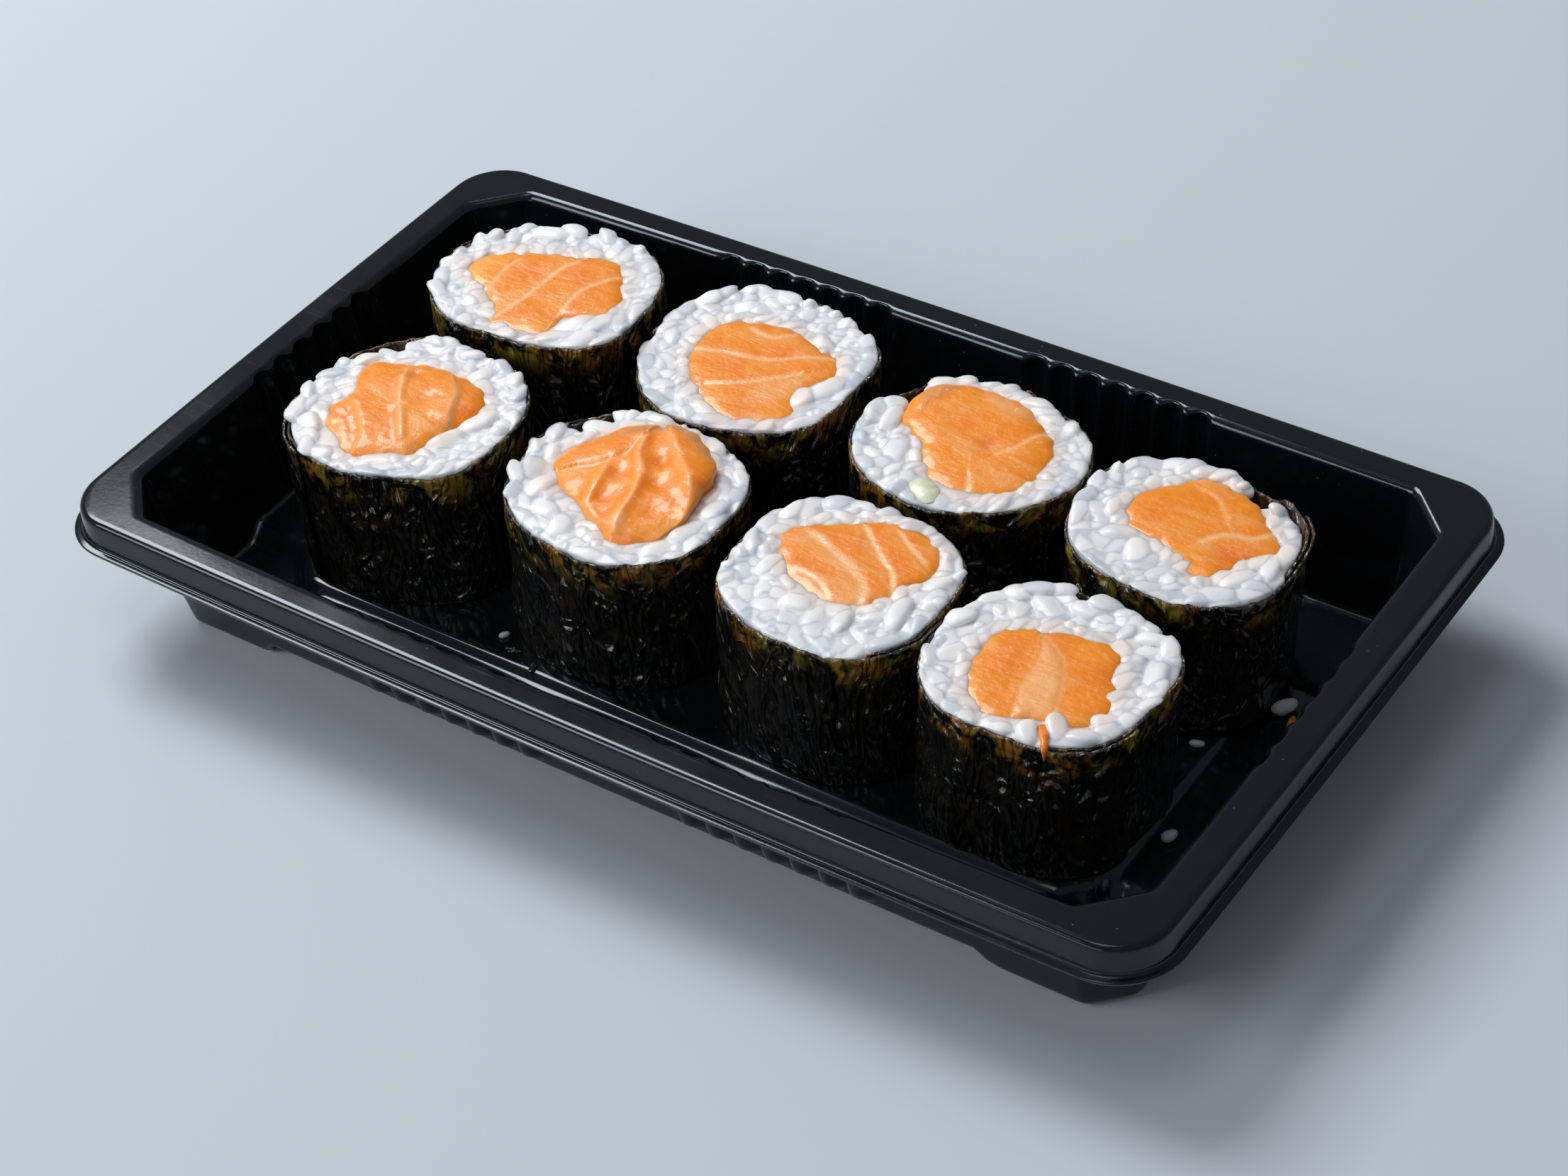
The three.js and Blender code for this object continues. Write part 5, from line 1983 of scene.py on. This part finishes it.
CRUMBS = [
    Crumb(Litter.RICE, -27.4, -22.2, heading=60, length_mm=1.6),
    Crumb(Litter.SEAWEED, -24.6, -24.0, heading=20, length_mm=2.4, width_mm=0.9),
    Crumb(Litter.SEAWEED, -20.4, -25.3, heading=100, length_mm=1.8, width_mm=0.7),
    Crumb(Litter.RICE, 65.5, 14.6, heading=55, length_mm=3.2),
    Crumb(Litter.SALMON, 67.3, 12.9, heading=100, length_mm=2.4, width_mm=1.0),
    Crumb(Litter.RICE, 64.3, -11.4, heading=70, length_mm=2.6),
    Crumb(Litter.RICE, 59.6, 3.4, heading=20, length_mm=1.9),
    Crumb(Litter.SEAWEED, 45.0, -28.2, heading=10, length_mm=1.6, width_mm=0.6),
]

# The rolls, in pairs from the left end of the tray: the back one and then the front one.
LEFT_ROLLS = [
    Roll(
        1, -49.4, 19.7, lean=0.6, rim=25.2, seam=150,
        wrap=[16, 16, 15, 13.4, 13.8, 15.5, 16.6, 16.6, 14.6, 13, 13.8, 16.6],
        fish=Fish(
            0.2, -1.3, [12, 11.2, 10.9, 8.4, 8.1, 10.1, 12.6, 8.4, 7.7, 11.2, 12, 8.2], dome=0.15,
            slope=(0, 0.02), threads=-1.15,
            bands=[
                Band([(-1.3, -9.4), (-0.4, -4.4), (0.1, 2.6), (1.2, 5.5)], 0.5, 0.9, 0.06, -0.08),
                Band([(6.1, -5.5), (5.5, -0.5), (6.4, 2.3), (8.3, 5.6)], 0.45, 0.85, 0.06, -0.08),
                Band([(-6.5, 1.9), (-6.7, -1.0), (-6.2, -3.9), (-5.6, -5.8)], 0.45, 0.7, 0.05, 0.1)],
            hollows=[Hollow(3.6, 2.6, 2.2, 0.0, 0.5), Hollow(-3.2, 0.6, 2.4, 0.0, 0.4)],
            patches=[
                Patch([(-12.6, -0.9), (-10.7, 1.8), (-7.2, 2.7), (-6.9, -1.0), (-6.4, -3.9), (-8.8, -5.3)],
                      Tint.GOLDEN, 1.0, 0.6),
                Patch([(-9.5, -5.2), (-6.2, -5.0), (-4.0, -8.0), (-1.0, -11.5), (-3.4, -11.6), (-7.4, -8.4)],
                      Tint.PALE, 0.45, 0.9)],
            lift=0.05),
        bare=[(100, 9)], pressed=[(315, 32), (30, 30)],
        grains=[
            Grain(9.3, -5.5, 60, 0.55, 1.4), Grain(8.3, -9.0, 40, 0.4, 1.3),
            Grain(11.7, -4.0, 75, 0.5, 1.35), Grain(11.6, -8.0, 80, 0.35, 1.35),
            Grain(-6.6, 9.4, 20, 0.75, 1.2), Grain(-10.6, 6.6, 120, 0.5, 1.05)]),
    Roll(
        2, -48.9, -10.7, lean=0.4, rim=25, seam=200,
        wrap=[15.4, 16, 15.6, 14.4, 15.8, 15.3, 15.4, 16.2, 16, 15, 14.4, 16],
        fish=Fish(
            -0.3, -1.1, [8.6, 11, 10.4, 9.3, 9.6, 11.2, 8.2, 10, 9.6, 10.8, 9.6, 9.2], dome=0.7,
            slope=(0, 0.04), threads=1.3,
            bands=[
                Band([(-3.5, 3.9), (-1.5, 0.6), (1.0, -2.3), (3.8, -5.8)], 0.7, 0.55, -0.3, 0.18, 2.2),
                Band([(-0.3, -10.6), (-1.2, -7.7), (-3.9, -4.9), (-6.2, -3.2)], 0.45, 0.55, -0.1, -0.4, 1.8),
                Band([(8.0, -1.1), (6.5, 1.5), (5.2, 4.3), (3.6, 6.0)], 0.45, 0.6, -0.12, 0.3, 2.0)],
            hollows=[
                Hollow(-2.5, 5.2, 1.1, 0.35, 0.75), Hollow(8.0, 2.4, 1.6, 0.1),
                Hollow(0.3, -11.6, 1.3, 0.2, 0.9), Hollow(1.6, 1.6, 1.6, 0.15, 0.3)],
            patches=[
                # This sunk patch's deep tint is painted shade in the pocket.
                Patch([(-8.4, -6.0), (-5.8, -4.3), (-2.6, -6.8), (-0.9, -9.6), (-2.6, -9.2), (-5.2, -7.0)],
                      Tint.DEEP_TONE_AND_SHADE, 0.5, 0.9, -0.15),
                Patch([(-10.2, -5.2), (-8.2, -6.4), (-4.6, -8.6), (-2.6, -10.4), (-5.4, -10.4),
                       (-9.6, -7.6)], Tint.PALE, 0.5, 0.6)],
            lift=0.25),
        bare=[(137, 11), (152, 5)], pressed=[(345, 22)],
        grains=[
            Grain(8.9, -2.8, 70, 0.75, 1.25), Grain(10.4, 2.0, 74, 0.75, 1.25),
            Grain(-11.2, 5.6, 60, 0.9, 0.85), Grain(-9.4, -8.6, 150, 0.7, 1.0),
            Grain(-7.6, -10.6, 140, 0.6, 1.0), Grain(3.6, -9.6, 30, 0.35, 1.3)]),
    Roll(
        3, -14.7, 19.1, lean=1, rim=25.2, seam=140,
        wrap=[15.4, 16.5, 15, 14.6, 15.8, 17.2, 15.8, 15.7, 15.6, 15, 15.2, 16.8],
        fish=Fish(
            1.7, -2.3, [8, 11.2, 9.6, 9.8, 10.7, 12, 10.4, 8.8, 8.4, 9.6, 12.2, 11], dome=0.15,
            slope=(0, 0.02), threads=0.45,
            bands=[
                Band([(10.2, 4.8), (6.2, 3.0), (2.5, 0.4), (-1.3, -0.5), (-5.2, -1.3), (-8.5, -2.2)], 0.4,
                     0.8, 0.05, -0.06),
                Band([(7.5, -0.1), (5.5, -2.0), (2.9, -4.2), (0.3, -6.0), (-2.5, -7.5)], 0.45, 0.85, 0.06,
                     -0.1),
                Band([(2.2, 6.5), (0.2, 4.5), (-1.9, 4.3), (-3.8, 5.0)], 0.45, 0.8, 0.05, -0.05)],
            hollows=[
                Hollow(3.2, 2.4, 2.0, 0.0, 0.35), Hollow(-1.5, -3.2, 2.4, 0.0, 0.4),
                Hollow(4.5, -8.5, 2.2, 0.1, 0.4)],
            patches=[
                Patch([(3.6, -4.6), (8.6, -0.6), (9.6, -3.4), (6.8, -7.4), (4.4, -7.6)], Tint.PALE, 0.35,
                      1.0)],
            lift=0.05),
        pressed=[(300, 26), (345, 20)],
        grains=[
            Grain(10.2, -4.0, 100, 0.7, 1.2), Grain(12.0, -1.0, 70, 0.65), Grain(2.2, -13.0, 15, 0.35, 1.0),
            Grain(9.6, -11.4, 90, 0.4, 1.05), Grain(-13.4, -5.6, 110, 0.3)]),
    Roll(
        4, -14.2, -10, lean=2, rim=25, seam=135,
        wrap=[15.6, 16, 14.4, 13.6, 15.6, 16.6, 16.2, 15.6, 14.3, 13.9, 15.4, 16.6],
        fish=Fish(
            0.6, 1.2, [10, 10.2, 10.2, 10.6, 10.8, 10.6, 12, 10.8, 8.4, 9.6, 12.8, 11.6], dome=0.9,
            slope=(0.07, 0.09), threads=-0.75,
            # The pale lines along these raised folds are fat and also painted highlights on the folds.
            bands=[
                Band([(4.5, -8.8), (3.6, -5.7), (2.7, -1.3), (0.9, 2.3), (-1.1, 4.5), (-2.3, 7.7)], 0.5,
                     0.45, -0.5, -0.25, 2.6, 0.15, 1.0),
                Band([(2.0, -7.9), (0.0, -7.0), (-1.8, -5.9), (-2.7, -2.7), (-3.5, 0.6)], 0.6, 0.35, -0.4,
                     -0.25, 2.0, 0.1, 1.0),
                Band([(10.7, -6.0), (11.0, -2.9), (9.8, 0.3), (7.2, 3.1), (3.6, 6.1), (0.1, 9.7)], 0.7,
                     0.3, -0.25, -0.6, 3.2, 0.2, 1.1),
                Band([(-2.6, 7.6), (-2.9, 4.4), (-4.8, 1.5), (-7.1, 0.0)], 0.7, 0.25, 0.1, -0.35, 2.0, 0.1)],
            hollows=[
                Hollow(2.6, 4.8, 1.5, 0.5, 0.55), Hollow(4.6, 0.8, 1.7, 0.45, 0.5),
                Hollow(6.8, -3.4, 1.6, 0.3, 0.35), Hollow(-1.3, 0.6, 1.5, 0.35, 0.5),
                Hollow(-0.4, -3.4, 1.5, 0.3, 0.5), Hollow(7.8, -9.4, 1.3, 0.2, 0.8),
                Hollow(1.2, 12.0, 2.6, 0.25, 0.0), Hollow(9.0, 3.2, 2.4, -0.5, 0.0)],
            patches=[
                Patch([(-8.5, 5.1), (-6.0, 7.3), (-3.8, 10.2), (-1.7, 12.7), (1.9, 12.9), (5.9, 11.0),
                       (9.5, 7.1), (6.0, 7.6), (1.7, 10.2), (-0.6, 9.9), (-3.2, 7.9)], Tint.BROWN, 0.8,
                      1.1),
                Patch([(2.6, -6.9), (3.2, -4.9), (5.1, -6.6), (5.0, -8.4), (3.1, -8.2)], Tint.PALE, 0.55,
                      1.0, 0.15)],
            lift=0.5),
        bare=[(143, 13)], pressed=[(320, 30), (250, 18)],
        grains=[
            Grain(12.9, 1.6, 84, 0.6, 1.2), Grain(12.2, -3.4, 74, 0.5, 1.2), Grain(10.9, -8.2, 62, 0.4, 1.2),
            Grain(-12.6, -2.8, 110, 0.5), Grain(-9.6, -5.4, 80, 0.6, 1.2), Grain(-6.2, -8.4, 160, 0.5),
            Grain(-2.4, -10.2, 100, 0.5, 1.0), Grain(-9.6, 8.4, 15, 0.2, 1.05),
            Grain(-6.0, 10.6, 40, 0.6, 1.1)]),
]
RIGHT_ROLLS = [
    Roll(
        5, 19.4, 17.4, lean=1.4, rim=25, seam=45,
        wrap=[16, 15.4, 13, 13.3, 14.5, 14.6, 15.5, 15, 13.7, 13, 13.7, 14.5],
        fish=Fish(
            0.6, 0.9, [10.6, 9.4, 8.6, 9.2, 10.4, 12.6, 10.8, 7.4, 8, 10, 11.4, 11.4], dome=0.4,
            slope=(-0.02, 0.05), threads=0.75,
            bands=[
                Band([(8.3, 6.3), (7.0, 5.2), (5.7, 1.8), (4.3, -0.5)], 0.45, 0.65, 0.05, 0.12),
                Band([(3.5, -5.7), (4.6, -7.7), (5.0, -9.6)], 0.4, 0.75, 0.05, 0.05)],
            hollows=[Hollow(2.4, 0.6, 1.6, 0.2), Hollow(-2.0, 3.0, 2.4, 0.05, 0.25)],
            patches=[
                Patch([(-11.3, 6.5), (-9.0, 8.4), (-6.8, 8.8), (-7.8, 5.6), (-9.2, 3.2)], Tint.BROWN, 0.6,
                      0.8, 0.35),
                Patch([(-3.4, 9.4), (0.5, 9.6), (5.1, 7.8), (2.2, 6.6), (-2.2, 7.6)], Tint.PALE, 0.4, 1.1)],
            lift=0.15),
        bare=[(157, 13), (118, 5)], pressed=[(20, 24), (290, 22)],
        grains=[
            Grain(-13.0, 2.6, 30, 0.8, 0.95), Grain(-11.6, 0.0, 100, 0.7, 1.0),
            Grain(-3.4, -11.6, 80, 0.5, 0.85), Grain(12.6, -2.4, 20, 0.3, 1.1),
            Grain(-7.6, -5.4, 110, 0.4, 1.25)],
        sliver=Sliver([(-2.4, -9.6), (-0.9, -9.8), (0.7, -10.6), (2.0, -11.9)])),
    Roll(
        6, 19.6, -11.3, lean=2, rim=25, seam=315,
        wrap=[14.4, 15.3, 14.2, 13.5, 14.5, 15.8, 15, 15.4, 13.9, 13.5, 15, 15.4],
        fish=Fish(
            0, 3.2, [8.6, 10.4, 10.2, 8.2, 7.2, 8.4, 11.4, 9.4, 8.4, 8.2, 8.6, 8.2], dome=0.15,
            slope=(0, 0.02), threads=0.7,
            bands=[
                Band([(1.4, -5.4), (-0.3, -3.3), (-2.6, -2.1), (-5.2, -1.8), (-7.3, -2.6)], 0.6, 0.9,
                     0.06, -0.06, 2.0, 0.5),
                Band([(-0.1, -5.6), (-1.5, -4.0), (-3.6, -3.0), (-5.5, -3.5)], 0.5, 0.6, 0.05, -0.05, 2.0,
                     0.3),
                Band([(5.0, -3.8), (3.3, -0.6), (0.4, 1.3), (-3.0, 2.9), (-7.6, 4.6)], 0.75, 0.85, 0.07,
                     -0.08, 2.0, 0.55),
                Band([(7.1, 0.1), (5.0, 3.1), (3.2, 4.2), (0.0, 6.7), (-2.6, 8.8)], 0.45, 0.95, 0.07,
                     -0.08, 2.0, 0.4),
                Band([(7.4, 6.6), (4.7, 7.9), (1.8, 9.8)], 0.4, 0.85, 0.05, -0.05, 2.0)],
            hollows=[
                Hollow(-2.0, 5.6, 2.2, 0.0, 0.3), Hollow(2.4, 3.0, 2.2, 0.0, 0.3),
                Hollow(5.0, 5.8, 2.0, 0.0, 0.3)],
            lift=0.05),
        pressed=[(262, 50)],
        grains=[
            Grain(9.6, -2.7, 100, 0.9, 1.2), Grain(-2.2, -6.7, 15, 0.65, 1.1),
            Grain(4.4, -6.9, 100, 0.5, 0.9), Grain(10.6, 4.2, 60, 0.45, 1.2)]),
    Roll(
        7, 51.4, 15.7, lean=2.2, rim=25, seam=355,
        wrap=[14.9, 14.6, 12.8, 12.8, 13.7, 15.8, 15.2, 14.4, 12.7, 12.4, 13.7, 15.1],
        fish=Fish(
            1.1, 2, [10.4, 8, 7.4, 7.9, 8.8, 8.8, 10.4, 9, 6.4, 7.2, 10.2, 8.8], dome=0.15, slope=(0, 0.02),
            threads=0.5,
            bands=[
                Band([(10.3, 5.3), (9.2, 4.0), (7.6, 2.1), (4.4, 1.3), (2.6, -1.0)], 0.55, 0.9, 0.05, 0.08),
                Band([(-2.4, 7.6), (0.6, 6.6), (3.4, 3.8)], 0.4, 0.3, 0.03, 0.05)],
            hollows=[Hollow(7.4, -1.4, 3.0, 0.05, 0.7), Hollow(-4.5, 1.5, 3.0, 0.0, 0.3)], lift=0.05),
        bare=[(66, 11)], pressed=[(225, 30)],
        grains=[
            Grain(7.6, 9.0, 40, 1.1, 0.9, 55), Grain(12.0, -1.2, 100, 0.55, 1.05),
            Grain(9.4, -4.8, 60, 0.5, 1.05), Grain(12.6, 1.9, 95, 0.5, 1.0),
            Grain(-7.2, -3.8, 20, 0.5, 1.25), Grain(-3.4, -5.8, 120, 0.45, 1.1)],
        flaps=[Flap(middle=34, half=22, rise_mm=0.9, flare_mm=0.45)]),
    Roll(
        8, 49.5, -12.7, lean=1.9, rim=25, seam=300,
        wrap=[14.8, 15.7, 14.1, 13.2, 14.6, 14.9, 15.1, 15.4, 14.6, 13, 14.4, 15.3],
        fish=Fish(
            0.5, -2.2, [9.4, 8.7, 9.7, 8.3, 8.5, 10, 9.2, 9.4, 9.6, 8.3, 7, 9.8], dome=0.15, slope=(0, 0.01),
            threads=0.75,
            bands=[
                Band([(4.5, -6.7), (3.4, -3.2), (1.6, 0.4), (-1.2, 2.7), (-3.5, 3.8)], 0.35, 0.5, 0.06,
                     0.05),
                Band([(0.6, -8.9), (-0.7, -4.8), (-1.1, -0.5), (-2.2, 2.2)], 0.35, 0.45, 0.05, -0.05)],
            hollows=[Hollow(-4.5, -1.5, 2.6, 0.0, 0.45), Hollow(6.5, 0.5, 2.6, 0.0, 0.5)],
            patches=[
                Patch([(-3.5, 3.8), (-1.2, 2.7), (1.6, 0.4), (3.4, -3.2), (4.5, -6.7), (2.6, -9.4),
                       (0.6, -8.9), (-0.7, -4.8), (-1.1, -0.5), (-2.2, 2.2)], Tint.PALE, 0.5, 1.3, 0.05)],
            lift=0.05),
        bare=[(100, 7)],
        grains=[
            Grain(3.5, -11.0, -58, 0.75, 0.95), Grain(6.0, -8.6, -60, 0.85, 1.0),
            Grain(9.3, -8.6, 20, 0.55, 0.95), Grain(-1.0, 10.6, 12, 0.5, 1.25),
            Grain(-5.6, 8.8, 150, 0.5, 1.2), Grain(8.2, 9.6, 20, 0.6, 0.85),
            Grain(11.4, 4.6, 110, 0.45, 1.2), Grain(-11.2, -4.0, 60, 0.5)],
        drips=[
            Drip([(4.6, -9.2, -0.3), (5.6, -10.6, 0.1), (6.4, -11.8, 0.25), (7.0, -12.8, -0.2),
                  (7.2, -13.0, -1.4)], width_mm=1.4)],
        flaps=[Flap(middle=12, half=14, rise_mm=0.5, flare_mm=0.1)]),
]


# ---- The set ----


@dataclass(frozen=True)
class Lamp:
    """A soft rectangular light. Its place and size are in metres and its power is in watts."""

    name: str
    place: Sequence[float]
    size: Sequence[float]
    power: float

    def build(self, aim: Sequence[float]) -> None:
        """Adds the light.

        Args:
            aim: the place that it points at, in metres.
        """
        data = bpy.data.lights.new(self.name, "AREA")
        data.shape = "RECTANGLE"
        data.size, data.size_y = self.size
        data.energy = self.power
        made = bpy.data.objects.new(self.name, data)
        bpy.context.scene.collection.objects.link(made)
        made.location = self.place
        made.rotation_mode = "QUATERNION"
        made.rotation_quaternion = (Vector(self.place) - Vector(aim)).to_track_quat("Z", "Y")


@dataclass
class Studio:
    """The pale floor, the soft light and the camera."""

    lamps: Sequence[Lamp] = (
        Lamp("key", (-0.625, 0.215, 0.816), (0.44, 0.46), 7.9),
        Lamp("top", (-0.12, -0.2, 1.25), (0.5, 0.4), 1.3),
        Lamp("fill", (-0.6, -0.75, 0.6), (0.5, 0.4), 3.9),
        Lamp("front", (-0.12, -0.95, 0.22), (0.6, 0.2), 0.7),
    )
    aim: tuple = (0.0, 0.0, 0.01)
    sky: tuple = colour(208, 212, 219)
    sky_strength: float = 0.29
    camera_mm: tuple = (213.3, -263.8, 294.7)
    look: tuple = (-0.477, 0.5938, -0.6479)
    up: tuple = (-0.316, 0.572, 0.7569)
    lens_mm: float = 79.87
    sensor_mm: float = 36.0

    def camera(self) -> None:
        """Makes the camera at the viewing angle."""
        data = bpy.data.cameras.new("camera")
        data.lens = self.lens_mm
        data.sensor_width = self.sensor_mm
        data.sensor_fit = "HORIZONTAL"
        data.clip_start = 0.01
        data.clip_end = 20.0
        made = bpy.data.objects.new("camera", data)
        bpy.context.scene.collection.objects.link(made)
        look = Vector(self.look).normalized()
        right = look.cross(Vector(self.up)).normalized()
        up = right.cross(look)
        turn = Matrix((right, up, -look)).transposed().to_4x4()
        made.matrix_world = Matrix.Translation(Vector(self.camera_mm) * MM) @ turn
        bpy.context.scene.camera = made

    def floor(self) -> None:
        """Makes the pale sheet under the tray."""
        Workbench.clear_selection()
        bpy.ops.mesh.primitive_plane_add(size=6.0, location=(0, 0, 0))
        made = Workbench.named("backdrop")
        made.data.materials.append(Backdrop().material())

    def lights(self) -> None:
        """Makes the lights and the pale surroundings."""
        world = bpy.data.worlds.new("surroundings")
        world.use_nodes = True
        shade = world.node_tree.nodes["Background"]
        shade.inputs["Color"].default_value = (*self.sky, 1.0)
        shade.inputs["Strength"].default_value = self.sky_strength
        bpy.context.scene.world = world
        for lamp in self.lamps:
            lamp.build(self.aim)

    def build(self) -> None:
        """Makes the whole set."""
        scene = bpy.context.scene
        scene.view_settings.view_transform = "Standard"
        scene.view_settings.look = "None"
        self.camera()
        self.floor()
        self.lights()


def main() -> None:
    """Builds every piece in order and reports it."""
    logging.basicConfig(level=logging.INFO, format="%(name)s: %(message)s")
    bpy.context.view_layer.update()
    Studio().build()
    tray = Tray()
    tray.build()
    seaweed, rice = Seaweed().material(), CookedRice().material()
    for roll in [*LEFT_ROLLS, *RIGHT_ROLLS]:
        roll.build(seaweed, rice)
    finishes = {Litter.RICE: rice, Litter.SEAWEED: seaweed, Litter.SALMON: RawSalmon().material(0.4)}
    for index, crumb in enumerate(CRUMBS, start=1):
        crumb.build(index, tray, finishes[crumb.kind])


if __name__ == "__main__":
    main()
